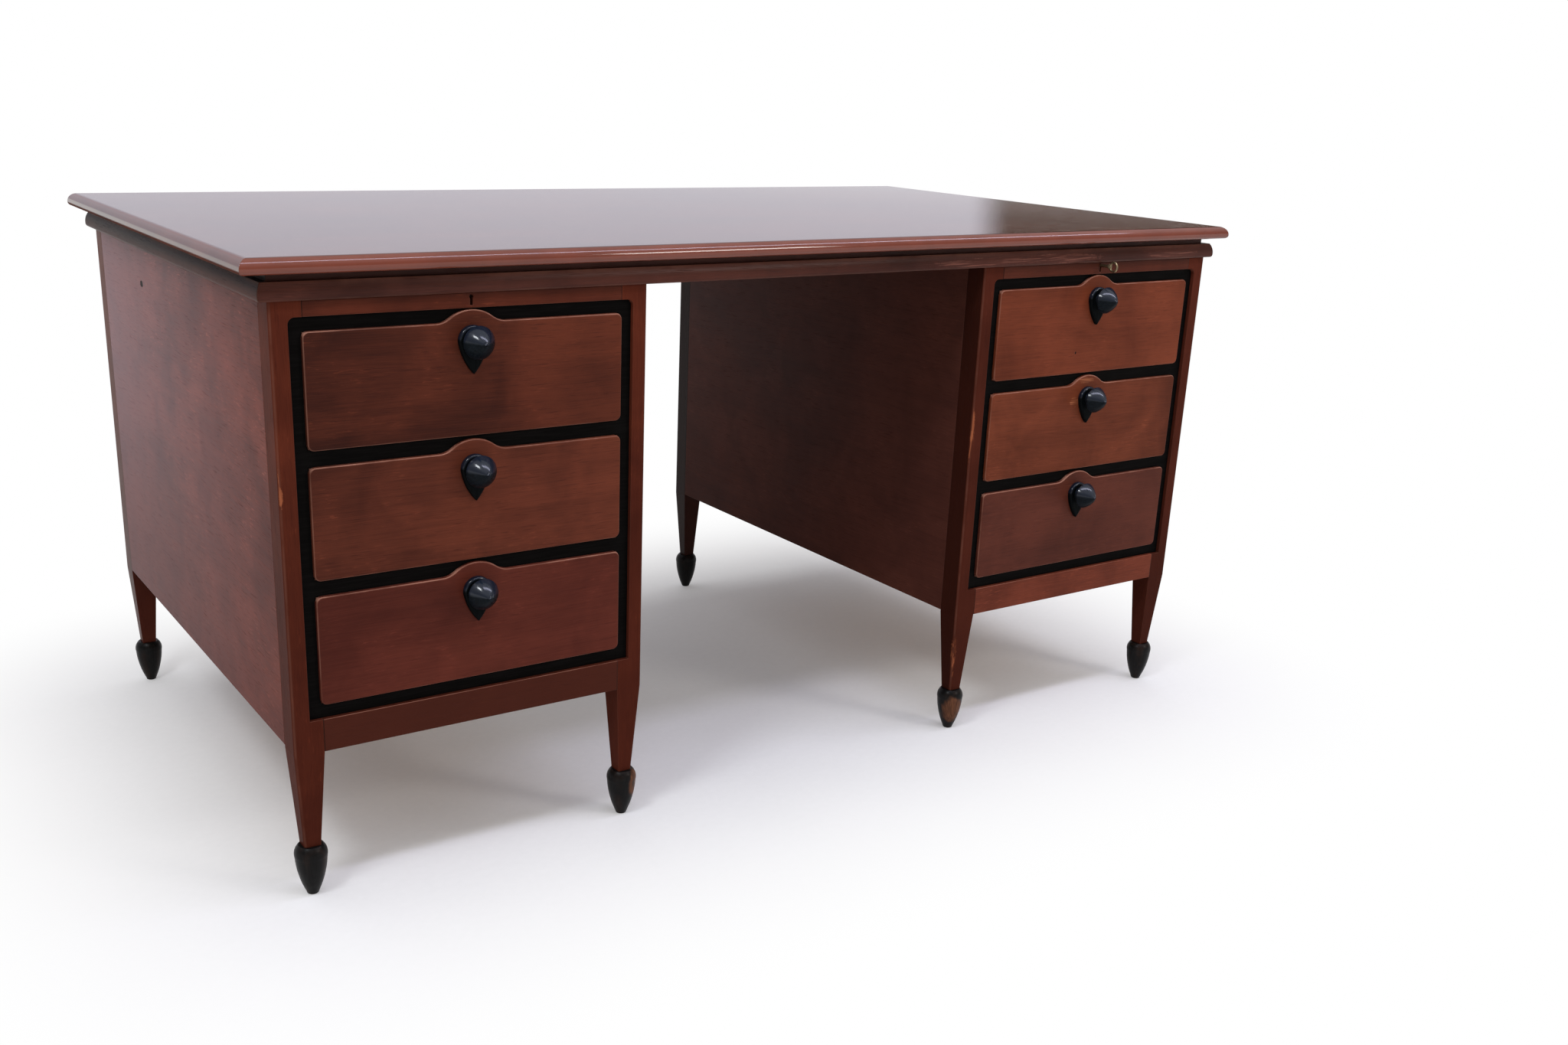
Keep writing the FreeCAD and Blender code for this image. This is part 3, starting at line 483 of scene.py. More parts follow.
@dataclass(frozen=True)
class Mahogany(Finish):
    """Old polished mahogany.

    Attributes:
        grain: Direction of the grain.
        dark: Colour of the dark figure.
        light: Colour of the light figure.
        worn: Colour of rubbed edges, which is partly a painted highlight.
        bare: Colour of scuffs and chips.
        haze: Colour of the grey haze, partly the bloom of old polish and partly a painted sheen.
        gloss: Roughness of the polish.
        shine: Strength of the polish's reflection.
        relief: How far the grain stands out of the polish, from 0 to 1.
        wear: How far the edges are rubbed, from 0 to 1; the pale edges are partly a painted highlight.
        edge: Width of the rubbed edge in metres.
        lean: How much lighter the board is at its far end.
        bloom_and_sheen: How far a grey haze lies on the polish, from 0 to 1; it is partly bloom and partly a
            painted sheen.
        drift: How much thicker that haze is at the far end.
        sheen: Strength of the pale haze that shows at a flat angle, from 0 to 1.
        haze_shine: Strength of the reflection where that haze lies.
        flecks: How far short light flecks show in the figure.
        floor_shade: How much darker it is near the floor, from 0 to 1, as painted shade.
        painted_shade_heights: Shares of its height between which a painted shade darkens it, from none to
            full: the shade under the top.
        shaded_face: Direction of the face that is darker, as painted shade where the kneehole keeps the light
            off.
        coat: Weight of the clear polish.
        rim_coat: The same on a rounded edge that faces the front.
        end_coat: The same on a rounded edge that faces left.
        seed: Shift of the pattern in metres.
        marks: Marks at known places.
        tenon: How far each end is hidden in its neighbour, in metres.
        seamed: Whether a dark hairline shows where it meets its neighbours.
        rim: Colour of a rounded edge that faces outwards, where it differs.
    """

    WAVE = Pattern(0.9, 5.0)
    SWAY = 0.05
    BLOTCH = Pattern(2.6, 4.2, 3.0, 0.55, 0.5, tone=1.1, dull=0.35)
    MOTTLE = Pattern(12.0, 11.0, 3.0, 0.55, 0.6, tone=0.6)
    PATCH = Pattern(14.0, 14.0, 4.0, 0.65, relief=0.15)
    FLECK = Pattern(70.0, 460.0, 2.0, 0.55, 0.4, peaks=(0.58, 0.76))
    RIBBON = Pattern(0.9, 16.0, 4.0, 0.62, 0.3, tone=0.42)
    STREAK = Pattern(5.0, 130.0, 3.0, 0.6, tone=0.16, relief=0.3)
    FINE = Pattern(16.0, 620.0, 2.0, 0.6, tone=0.3, dull=0.3, relief=0.35)
    PORE = Pattern(38.0, 900.0, 1.0, peaks=(0.6, 0.74), dull=0.3, relief=-0.6)
    SCRATCH = Pattern(12.0, 210.0, 2.0, 0.7, peaks=(0.71, 0.8))
    RAGGED = Pattern(260.0, 260.0, 3.0, 0.7)

    PORE_SHARE = 0.4
    SCRATCH_SHARE = 0.22
    TONES = (0.05, 0.95)
    FLECKED = (0.42, 0.68)
    # Noise range of the grey haze, partly polish bloom and partly a painted sheen.
    BLOOM_AND_SHEEN_CLOUDS = (0.2, 0.8, 0.4)
    # Heights between which the painted shade near the floor sets in.
    FLOOR_SHADE_HEIGHTS = (0.72, 0.2)
    # Colour and share of the painted shade under the top.
    PAINTED_SHADE = paint(20, 12, 11)
    PAINTED_SHADE_SHARE = 0.95
    # Depth and share of the painted shade on a face towards the kneehole.
    FACE_SHADE_SCALE = 0.55
    FACE_SHADE_SHARE = 0.8
    RUB_PATCHES = (0.36, 0.62, 0.3)
    RUB_ROUGH = 0.12
    # Edges that face up get more of the pale edge, partly a painted highlight.
    RISING = (0.1, 0.6, 0.4)
    SCRATCHED = (0.5, 0.75)
    TURNED = (0.2, 0.7)
    RIM_PATCHES = (0.2, 0.7, 0.65)
    END_DARK = 0.85
    UNDER = (-0.1, 0.3)
    UNDER_ROUGH = 0.9
    HOLE = paint(18, 10, 8)
    DEPTHS = {MarkKind.HOLE: 3.0, MarkKind.CHIP: 1.6, MarkKind.RUB: 0.0}
    CHIP_SHARE = 0.6
    RUB_FIBRES = (0.5, 0.64, 0.04, 0.74)
    SEAM = paint(26, 12, 8)
    SEAM_SHARE = 0.75
    SEAM_WIDTHS = (0.0012, 0.0004)
    HAZE_MEAN = 0.55
    HAZE_DRIFT = 0.45
    HAZE_HEIGHTS = (0.2, 0.6, 0.3)
    SHEEN_TINT = (0.8, 0.76, 1.0)
    COAT_ROUGH = 0.06
    RELIEF_HEIGHT = 0.0006

    grain: Grain
    dark: Colour = paint(62, 28, 19)
    light: Colour = paint(112, 57, 38)
    worn: Colour = paint(156, 110, 92)
    bare: Colour = paint(186, 142, 116)
    haze: Colour = paint(128, 108, 110)
    gloss: float = 0.38
    shine: float = 0.05
    relief: float = 0.35
    wear: float = 0.5
    edge: float = 0.0013
    lean: float = 0.0
    bloom_and_sheen: float = 0.0
    drift: float = 0.0
    sheen: float = 0.0
    haze_shine: float = 0.0
    flecks: float = 0.4
    floor_shade: float = 0.0
    painted_shade_heights: Span | None = None
    shaded_face: Point | None = None
    coat: float = 0.0
    rim_coat: float = 0.0
    end_coat: float = 0.0
    seed: Point = ORIGIN
    marks: tuple[Mark, ...] = ()
    tenon: float = 0.0
    seamed: bool = False
    rim: Colour | None = None

    def shader(self, bench: Bench, box: Board) -> Wire:
        """Build the finish, as Finish.shader says."""
        piece = self._piece(bench, box)
        normal, edge = bench.edge(self.edge)
        rough = (total(piece.noises, lambda layer: layer.dull) + 1.0) * self.gloss
        relief = total(piece.noises, lambda layer: layer.relief)
        skin = Skin(self._figure(piece), rough, relief, self.coat)
        self._age(piece, skin)
        if self.rim:
            self._turn_rim(piece, skin)
        # Edges are lightened most where they face up: rubbed wear and partly a painted highlight.
        self._rub(piece, skin, edge * bench.parts(normal)[2].rise(*self.RISING))
        if self.sheen:
            skin.hazy = self._hazy(piece)
        self._leave_marks(piece, skin)
        if self.seamed:
            skin.tint(self.SEAM, self._seam(piece) * self.SEAM_SHARE)
        return self._join(bench, skin, normal)

    def _piece(self, bench: Bench, box: Board) -> Piece:
        """Add the noises of one board, with its figure bent along the grain."""
        place = bench.place(self.grain.turn, self.seed)
        wave = bench.noise(place, self.WAVE) * self.SWAY
        bend = bench.out(bench.add("ShaderNodeCombineXYZ", None, {1: wave, 2: wave}))
        bent = bench.vector("ADD", "Vector", place, bend)
        cloudy = (self.BLOTCH, self.MOTTLE, self.PATCH, self.FLECK, self.SCRATCH, self.RAGGED)
        grained = (self.RIBBON, self.STREAK, self.FINE, self.PORE)
        return Piece(bench, box, {**bench.noises(place, *cloudy), **bench.noises(bent, *grained)})

    def _figure(self, piece: Piece) -> Wire:
        """Colour the clean wood."""
        tone = total(piece.noises, lambda layer: layer.tone) + Wire.NOISE_MEAN
        if self.lean:
            tone = tone + self._along(piece) * self.lean
        tone = tone + piece.noises[self.FLECK] * piece.noises[self.MOTTLE].step(*self.FLECKED) * self.flecks
        colour = piece.bench.mix(self.dark, self.light, tone.step(*self.TONES))
        return piece.bench.mix(colour, self.dark, piece.noises[self.PORE] * self.PORE_SHARE)

    def _age(self, piece: Piece, skin: Skin) -> None:
        """Lay a grey haze, partly painted sheen, and painted shade over the wood's colour."""
        # Grey haze in the colour: partly the bloom of old polish, partly a painted sheen.
        if self.bloom_and_sheen:
            haze = piece.noises[self.BLOTCH].rise(*self.BLOOM_AND_SHEEN_CLOUDS) * self.bloom_and_sheen
            if self.drift:
                haze = haze * (self._along(piece) * self.drift + 1.0)
            skin.tint(self.haze, haze)
        # Painted shade: darker towards the floor.
        if self.floor_shade:
            skin.tint(self.dark, piece.bench.height().step(*self.FLOOR_SHADE_HEIGHTS) * self.floor_shade)
        # Painted shade: darker towards the board's top, under the top of the desk.
        if self.painted_shade_heights:
            heights = (piece.box.at(Grain.ALONG_Z.value, share) for share in self.painted_shade_heights)
            skin.tint(self.PAINTED_SHADE, piece.bench.height().step(*heights) * self.PAINTED_SHADE_SHARE)
        # Painted shade on the face that looks into the kneehole.
        if self.shaded_face:
            skin.tint(scaled(self.dark, self.FACE_SHADE_SCALE), piece.bench.facing(self.shaded_face) * self.FACE_SHADE_SHARE)

    def _turn_rim(self, piece: Piece, skin: Skin) -> None:
        """Give a rounded edge its own colour and polish."""
        bench = piece.bench
        sideways = 1.0 - bench.facing(UPWARD).greatest(bench.facing(DOWNWARD))
        front = bench.facing(FORWARD, self.TURNED)
        end = bench.facing(LEFTWARD, self.TURNED)
        patchy = piece.noises[self.PATCH].rise(*self.RIM_PATCHES)
        skin.tint(self.rim, sideways * patchy * (1.0 - end * self.END_DARK))
        under = sideways * bench.facing(DOWNWARD, self.UNDER) * end
        coat = sideways * (front * self.rim_coat + end * self.end_coat - self.coat) + self.coat
        skin.coat = coat * (1.0 - under)
        skin.rough = skin.rough + under * self.UNDER_ROUGH

    def _rub(self, piece: Piece, skin: Skin, edge: Wire) -> None:
        """Lighten the edges that were found, as rubbed wear and partly a painted highlight, and scratch the
        faces.
        """
        scratch = piece.noises[self.SCRATCH] * piece.noises[self.BLOTCH].step(*self.SCRATCHED)
        edge_wear_and_highlight = edge * piece.noises[self.PATCH].rise(*self.RUB_PATCHES)
        rubbed = edge_wear_and_highlight.greatest(scratch * self.SCRATCH_SHARE) * self.wear
        skin.tint(self.worn, rubbed)
        skin.rough = skin.rough + rubbed * self.RUB_ROUGH

    def _leave_marks(self, piece: Piece, skin: Skin) -> None:
        """Add the marks at known places to the colour, relief and haze."""
        for mark in self.marks:
            cover = piece.bench.spot(mark, piece.box, piece.noises[self.RAGGED])
            skin.relief = skin.relief - cover * self.DEPTHS[mark.kind]
            if mark.kind is MarkKind.HOLE:
                skin.tint(self.HOLE, cover)
                skin.hazy = skin.hazy * (1.0 - cover) if skin.hazy else None
            elif mark.kind is MarkKind.CHIP:
                skin.tint(self.bare, cover * self.CHIP_SHARE)
            else:
                skin.tint(self.bare, cover * piece.noises[self.FINE].rise(*self.RUB_FIBRES))

    def _join(self, bench: Bench, skin: Skin, normal: Wire) -> Wire:
        """Join everything in the shader."""
        sockets = {
            "Base Color": skin.colour,
            "Roughness": skin.rough,
            "Normal": bench.bump(skin.relief, self.relief, self.RELIEF_HEIGHT, normal),
            "Specular IOR Level": self.shine,
            "Coat Weight": skin.coat,
            "Coat Roughness": self.COAT_ROUGH,
        }
        shader = bench.principled(sockets)
        if not skin.hazy:
            return shader
        sheen = {"Sheen Weight": self.sheen, "Sheen Tint": bench.solid(self.SHEEN_TINT)}
        dusty = bench.principled({**sockets, **sheen, "Specular IOR Level": self.haze_shine})
        return bench.blend(shader, dusty, skin.hazy)

    def _hazy(self, piece: Piece) -> Wire:
        """Lay the pale haze thickest at the board's far end and away from the floor."""
        far = self._along(piece) * self.HAZE_DRIFT + self.HAZE_MEAN
        return far * piece.bench.height().rise(*self.HAZE_HEIGHTS)

    def _half(self, box: Board) -> float:
        """Half of the board's length that shows."""
        return (box.high[self.grain.value] - box.low[self.grain.value]) / 2 - self.tenon

    def _along(self, piece: Piece) -> Wire:
        """Run from -1 at one end of the board to 1 at the other."""
        place = piece.bench.parts(piece.bench.coordinates())[self.grain.value]
        return (place - piece.box.at(self.grain.value, 0.5)) * (1.0 / self._half(piece.box))

    def _seam(self, piece: Piece) -> Wire:
        """Find the hairline where the board's ends meet its neighbours."""
        span = (1.0 - width / self._half(piece.box) for width in self.SEAM_WIDTHS)
        return self._along(piece).size().step(*span)


@dataclass(frozen=True)
class Ebonised(Finish):
    """Wood stained black under polish.

    Attributes:
        grain: Direction of the grain.
        black: Colour of the stain.
        brown: Colour where the stain has gone.
        gloss: Roughness of the polish.
        shine: Strength of the polish's reflection.
        wear: How far the stain has gone, from 0 to 1.
        edge: Width of the worn edge in metres.
        crown: Weight of the clear polish on the faces that look up, and of the painted sky reflection there.
        sky: Colour painted on the faces that look up, a painted reflection of the sky.
        seed: Shift of the pattern in metres.
        marks: Places where the stain has mostly gone.
    """

    FIBRE = Pattern(22.0, 420.0, 3.0, 0.6, dull=0.3, relief=0.5)
    CLOUD = Pattern(24.0, 38.0, 3.0, 0.6, 0.4, dull=0.6, relief=0.3)
    BARE_FIBRES = (0.3, 0.7, 0.4)
    WORN = (0.72, 0.86)
    WORN_GROWTH = (0.3, 0.2)
    EDGE_CLOUDS = (0.4, 0.7)
    EDGE_SHARE = 0.5
    MARK_CLOUDS = (0.3, 0.5)
    MARK_SHARE = 0.85
    LIT_FIBRES = (0.35, 0.75)
    LIT = 1.9
    WORN_ROUGH = 0.2
    RISING = (0.0, 0.24)
    RELIEF = 0.12
    RELIEF_HEIGHT = 0.0005
    COAT_ROUGH = 0.14

    grain: Grain
    black: Colour
    brown: Colour = paint(70, 40, 26)
    gloss: float = 0.3
    shine: float = 0.2
    wear: float = 0.1
    edge: float = 0.0014
    crown: float = 0.0
    sky: Colour = (0.007, 0.0125, 0.025)
    seed: Point = ORIGIN
    marks: tuple[Mark, ...] = ()

    def shader(self, bench: Bench, box: Board) -> Wire:
        """Build the finish, as Finish.shader says."""
        noises = bench.noises(bench.place(self.grain.turn, self.seed), self.FIBRE, self.CLOUD)
        fibre, cloud = noises.values()
        normal, edge = bench.edge(self.edge)
        bare = fibre.rise(*self.BARE_FIBRES)
        first, last = (place - growth * self.wear for place, growth in zip(self.WORN, self.WORN_GROWTH))
        worn = cloud.step(first, last) * bare * self.wear
        worn = worn.greatest(edge * cloud.step(*self.EDGE_CLOUDS) * self.wear * self.EDGE_SHARE)
        for mark in self.marks:
            cover = bench.spot(mark, box, cloud) * cloud.step(*self.MARK_CLOUDS)
            worn = worn.greatest(cover * bare * self.MARK_SHARE)
        # The faces that look up get a clear coat and, in their colour, a painted bluish reflection of the
        # sky.
        polish = bench.parts(bench.coordinates("Normal"))[2].step(*self.RISING) * self.crown
        colour = bench.mix(self.black, scaled(self.black, self.LIT), fibre.step(*self.LIT_FIBRES))
        colour = bench.mix(colour, self.brown, worn)
        dull = total(noises, lambda layer: layer.dull)
        relief = total(noises, lambda layer: layer.relief)
        sockets = {
            "Base Color": bench.mix(colour, self.sky, polish),
            "Roughness": (dull + 1.0) * self.gloss + worn * self.WORN_ROUGH,
            "Normal": bench.bump(relief, self.RELIEF, self.RELIEF_HEIGHT, normal),
            "Specular IOR Level": self.shine,
            "Coat Weight": polish,
            "Coat Roughness": self.COAT_ROUGH,
        }
        return bench.principled(sockets)


@dataclass(frozen=True)
class Oak(Finish):
    """Plain oak of the drawer boxes and runners, dirty in stains and along handled edges."""

    RING = Pattern(1.2, 34.0, 3.0, 0.6, 0.5, tone=1.5)
    FIBRE = Pattern(14.0, 420.0, 3.0, 0.65, tone=0.7, relief=0.6)
    PORE = Pattern(26.0, 640.0, 1.0, peaks=(0.6, 0.72), relief=-0.7)
    STAIN = Pattern(4.0, 7.0, 4.0, 0.6, 0.6, dull=0.15)
    PORE_SHARE = 0.5
    STAIN_SHARE = 0.5
    TONES = (0.1, 0.9)
    STAINED = (0.5, 0.8)
    EDGE_SHARE = 0.25
    RELIEF = 0.4
    RELIEF_HEIGHT = 0.0006

    grain: Grain
    dark: Colour = paint(134, 98, 62)
    light: Colour = paint(186, 150, 106)
    open_pore: Colour = paint(84, 56, 34)
    dirty: Colour = paint(92, 66, 44)
    rough: float = 0.62
    edge: float = 0.0016
    seed: Point = ORIGIN

    def shader(self, bench: Bench, box: Board) -> Wire:
        """Build the finish, as Finish.shader says; it is the same for any box."""
        board = bench.place(self.grain.turn, self.seed)
        noises = bench.noises(board, self.RING, self.FIBRE, self.PORE, self.STAIN)
        normal, edge = bench.edge(self.edge)
        tone = total(noises, lambda layer: layer.tone) + Wire.NOISE_MEAN
        colour = bench.mix(self.dark, self.light, tone.step(*self.TONES))
        colour = bench.mix(colour, self.open_pore, noises[self.PORE] * self.PORE_SHARE)
        stained = noises[self.STAIN].step(*self.STAINED) * self.STAIN_SHARE
        dirt = stained.greatest(edge * self.EDGE_SHARE)
        relief = total(noises, lambda layer: layer.relief)
        sockets = {
            "Base Color": bench.mix(colour, self.dirty, dirt),
            "Roughness": total(noises, lambda layer: layer.dull) + self.rough,
            "Normal": bench.bump(relief, self.RELIEF, self.RELIEF_HEIGHT, normal),
        }
        return bench.principled(sockets)


@dataclass(frozen=True)
class OldMetal(Finish):
    """Dull metal with tarnish in its hollows, bright along the edges that hands have rubbed."""

    CLOUD = Pattern(160.0, 160.0, 4.0, 0.65, tone=0.85)
    SPECK = Pattern(900.0, 900.0, 2.0, 0.6, tone=0.3)
    CLOUDED = (0.32, 0.66)
    SPECKLED = (0.6, 0.75)
    EDGE_BRIGHT = 0.6
    DULL_METAL = 0.35
    DULL_ROUGH = 0.3
    RELIEF = 0.3
    RELIEF_HEIGHT = 0.0003

    bright: Colour
    tarnish: Colour
    gloss: float
    edge: float = 0.0006

    def shader(self, bench: Bench, box: Board) -> Wire:
        """Build the finish, as Finish.shader says; it is the same for any box."""
        cloud, speck = bench.noises(bench.place(), self.CLOUD, self.SPECK).values()
        normal, edge = bench.edge(self.edge)
        tarnished = cloud.step(*self.CLOUDED) * self.CLOUD.tone + speck.step(*self.SPECKLED) * self.SPECK.tone
        dull = (tarnished - edge * self.EDGE_BRIGHT).greatest(0.0)
        sockets = {
            "Base Color": bench.mix(self.bright, self.tarnish, dull),
            "Metallic": 1.0 - dull * self.DULL_METAL,
            "Roughness": dull * self.DULL_ROUGH + self.gloss,
            "Normal": bench.bump(speck + cloud, self.RELIEF, self.RELIEF_HEIGHT, normal),
        }
        return bench.principled(sockets)


@dataclass
class Top:
    """The slab and the moulding under it."""

    slab: Mahogany = Mahogany(
        Grain.ALONG_X, dark=paint(50, 24, 17), light=paint(92, 48, 33), rim=paint(115, 57, 42), gloss=0.09,
        shine=0.13, relief=0.04, wear=0.1, coat=0.55, rim_coat=0.65, end_coat=0.5, seed=(3.1, 0.7, 0.2),
    )
    moulding: Mahogany = Mahogany(
        Grain.ALONG_X, dark=paint(46, 23, 18), light=paint(80, 43, 34), gloss=0.3, shine=0.08, wear=0.3
    )
    # The end boards are darker towards their top: painted shade under the slab.
    end_moulding: Mahogany = replace(moulding, grain=Grain.ALONG_Y, shine=0.013, painted_shade_heights=(0.1034, 0.6552))
    front_moulding: Mahogany = replace(
        moulding,
        bare=paint(116, 72, 60),
        marks=(
            Mark(MarkKind.RUB, (0.6857, 0.0, 0.2586), (0.12, 0.012, 0.007)),
            Mark(MarkKind.RUB, (0.7785, 0.0, 0.2931), (0.09, 0.012, 0.008)),
            Mark(MarkKind.RUB, (0.9377, 0.0, 0.2759), (0.06, 0.012, 0.006)),
        ),
    )
    moulding_seed: Point = (0.4, 2.2, 0.9)

    def dress(self) -> None:
        """Give each board of the top its finish."""
        self.slab.lay("mahogany_top", "desk_top")
        boards = {"front": self.front_moulding, "back": self.moulding}
        boards.update(dict.fromkeys(("left", "right"), self.end_moulding))
        first, *others = self.moulding_seed
        for side, board in boards.items():
            finish = replace(board, seed=(first + len(side), *others))
            finish.lay(f"mahogany_moulding_{side}", f"moulding_{side}")
        Oak(Grain.ALONG_Y).lay("oak_bearers", "top_bearers")
        Oak(Grain.ALONG_Z).lay("oak_dowels", "top_dowels")


@dataclass
class Drawer:
    """One drawer: its front, box, rose and knob."""

    side: Side
    level: Level
    front: Mahogany
    box: Oak = Oak(Grain.ALONG_Y)
    rose: Ebonised = Ebonised(
        Grain.ALONG_Z, (0.0022, 0.0028, 0.003), gloss=0.34, shine=0.02, wear=0.04, crown=0.6
    )
    knob: Ebonised = Ebonised(
        Grain.ALONG_Y, (0.0034, 0.0052, 0.007), gloss=0.3, shine=0.05, wear=0.03, crown=0.75
    )

    def dress(self) -> None:
        """Give the drawer's nodes their finishes."""
        name = f"{self.side.value}_{self.level.value}_drawer"
        self.front.lay(f"mahogany_{name}", f"{name}_front")
        self.box.lay(f"oak_{name}", f"{name}_box")
        self.rose.lay(f"ebonised_{name}_rose", f"{name}_rose")
        self.knob.lay(f"ebonised_{name}_knob", f"{name}_knob")


@dataclass
class Pedestal:
    """One pedestal: legs, feet, panels, rails, black frame and drawers."""

    side: Side
    drawers: dict[Level, Mahogany]
    leg: Mahogany = Mahogany(
        Grain.ALONG_Z, dark=paint(62, 27, 19), light=paint(101, 47, 31), bare=paint(160, 92, 60), shine=0.01,
        wear=0.35, floor_shade=0.45,
    )
    back_leg: Mahogany = replace(leg, shine=0.05, wear=0.05)
    # The side panels carry a grey haze in their colour, partly polish bloom and partly a painted sheen.
    panel: Mahogany = Mahogany(
        Grain.ALONG_Y, dark=paint(70, 32, 26), light=paint(136, 72, 57), gloss=0.42, shine=0.02, wear=0.3,
        bloom_and_sheen=0.24, drift=0.9, sheen=0.13, haze_shine=0.08, flecks=0.8, floor_shade=0.35,
    )
    back_panel: Mahogany = replace(panel, grain=Grain.ALONG_X, drift=0.0, sheen=0.0)
    inner_panel: Mahogany = Mahogany(
        Grain.ALONG_Y, dark=paint(56, 28, 22), light=paint(84, 46, 36), gloss=0.55, shine=0.025, wear=0.3,
        sheen=0.02, haze_shine=0.085,
    )
    rail: Mahogany = Mahogany(
        Grain.ALONG_X, dark=paint(62, 27, 18), light=paint(102, 48, 31), wear=0.6, tenon=0.014, seamed=True
    )
    # The bottom rail is darkest near the floor, as painted shade.
    bottom_rail: Mahogany = replace(rail, floor_shade=0.8)
    # Heights of the painted shade on the top rail, under the moulding.
    rail_shade_heights: Span = (0.2778, 1.9444)
    frame: Ebonised = Ebonised(Grain.ALONG_X, (0.003, 0.0026, 0.0024), gloss=0.6, shine=0.02, wear=0.02)
    foot: Ebonised = Ebonised(
        Grain.ALONG_Z, (0.0045, 0.0042, 0.004), brown=paint(112, 70, 46), gloss=0.32, shine=0.1, wear=0.12
    )
    runner: Oak = Oak(Grain.ALONG_Y)
    marks: dict[str, tuple[Mark, ...]] = field(default_factory=dict)
    turn: float = 0.0
    inwards: Point = (1.0, 0.0, 0.0)

    def dress(self) -> None:
        """Give every node of the pedestal its finish."""
        self._legs()
        self._panels()
        self._rails()
        self._other_wood()
        for level, front in self.drawers.items():
            marks = self.marks.get(f"{level.value}_drawer_front", ())
            Drawer(self.side, level, replace(front, marks=marks)).dress()

    def _lay(self, piece: str, board: Mahogany, seed: Point) -> None:
        """Dress one mahogany board.

        Args:
            piece: Name of the board in its pedestal.
            board: Its finish.
            seed: Shift of its pattern, before the pedestal's own.
        """
        node = f"{self.side.value}_{piece}"
        shift = (self.turn + seed[0], seed[1], seed[2])
        finish = replace(board, seed=shift, marks=self.marks.get(piece, ()))
        finish.lay(f"mahogany_{node}", node)

    def _legs(self) -> None:
        """Dress the four legs, the inner ones with painted shade on the face towards the kneehole."""
        self._lay("front_outer_leg", self.leg, ORIGIN)
        self._lay("front_inner_leg", replace(self.leg, shaded_face=self.inwards), (0.0, 0.9, 0.0))
        self._lay("back_outer_leg", self.back_leg, (1.7, 0.0, 0.6))
        self._lay("back_inner_leg", replace(self.back_leg, shaded_face=self.inwards), (1.7, 0.9, 0.6))

    def _panels(self) -> None:
        """Dress the two side panels and the back panel."""
        self._lay("outer_panel", self.panel, (0.0, 0.3, 1.1))
        self._lay("inner_panel", self.inner_panel, (1.0, 0.3, 1.1))
        self._lay("back_panel", self.back_panel, (0.0, 2.0, 0.4))

    def _rails(self) -> None:
        """Dress the two front rails, the upper one with painted shade under the moulding."""
        self._lay("top_rail", replace(self.rail, painted_shade_heights=self.rail_shade_heights), (0.0, 0.0, 0.8))
        self._lay("bottom_rail", self.bottom_rail, (0.0, 1.3, 0.8))

    def _other_wood(self) -> None:
        """Dress the frame round the drawers, the feet and the runners."""
        side = self.side.value
        seed = (self.turn, 0.0, 0.0)
        marks = self.marks.get("feet", ())
        self.frame.lay(f"ebonised_{side}_frame", f"{side}_ebonised_frame")
        replace(self.foot, seed=seed, marks=marks).lay(f"ebonised_{side}_feet", f"{side}_feet")
        replace(self.runner, seed=seed).lay(f"oak_{side}_runners", f"{side}_drawer_runners")


@dataclass
class Locks:
    """The lock cases, their bolts, the screws and the key."""

    steel: OldMetal = OldMetal(bright=(0.36, 0.35, 0.33), tarnish=(0.09, 0.08, 0.07), gloss=0.4)
    brass: OldMetal = OldMetal(bright=(0.27, 0.21, 0.12), tarnish=(0.07, 0.052, 0.032), gloss=0.34)

    def dress(self) -> None:
        """Give the metal nodes their finishes."""
        self.steel.lay("dull_steel", "lock_cases", "left_lock_bolt", "right_lock_bolt", "top_screws")
        self.brass.lay("aged_brass", "key")


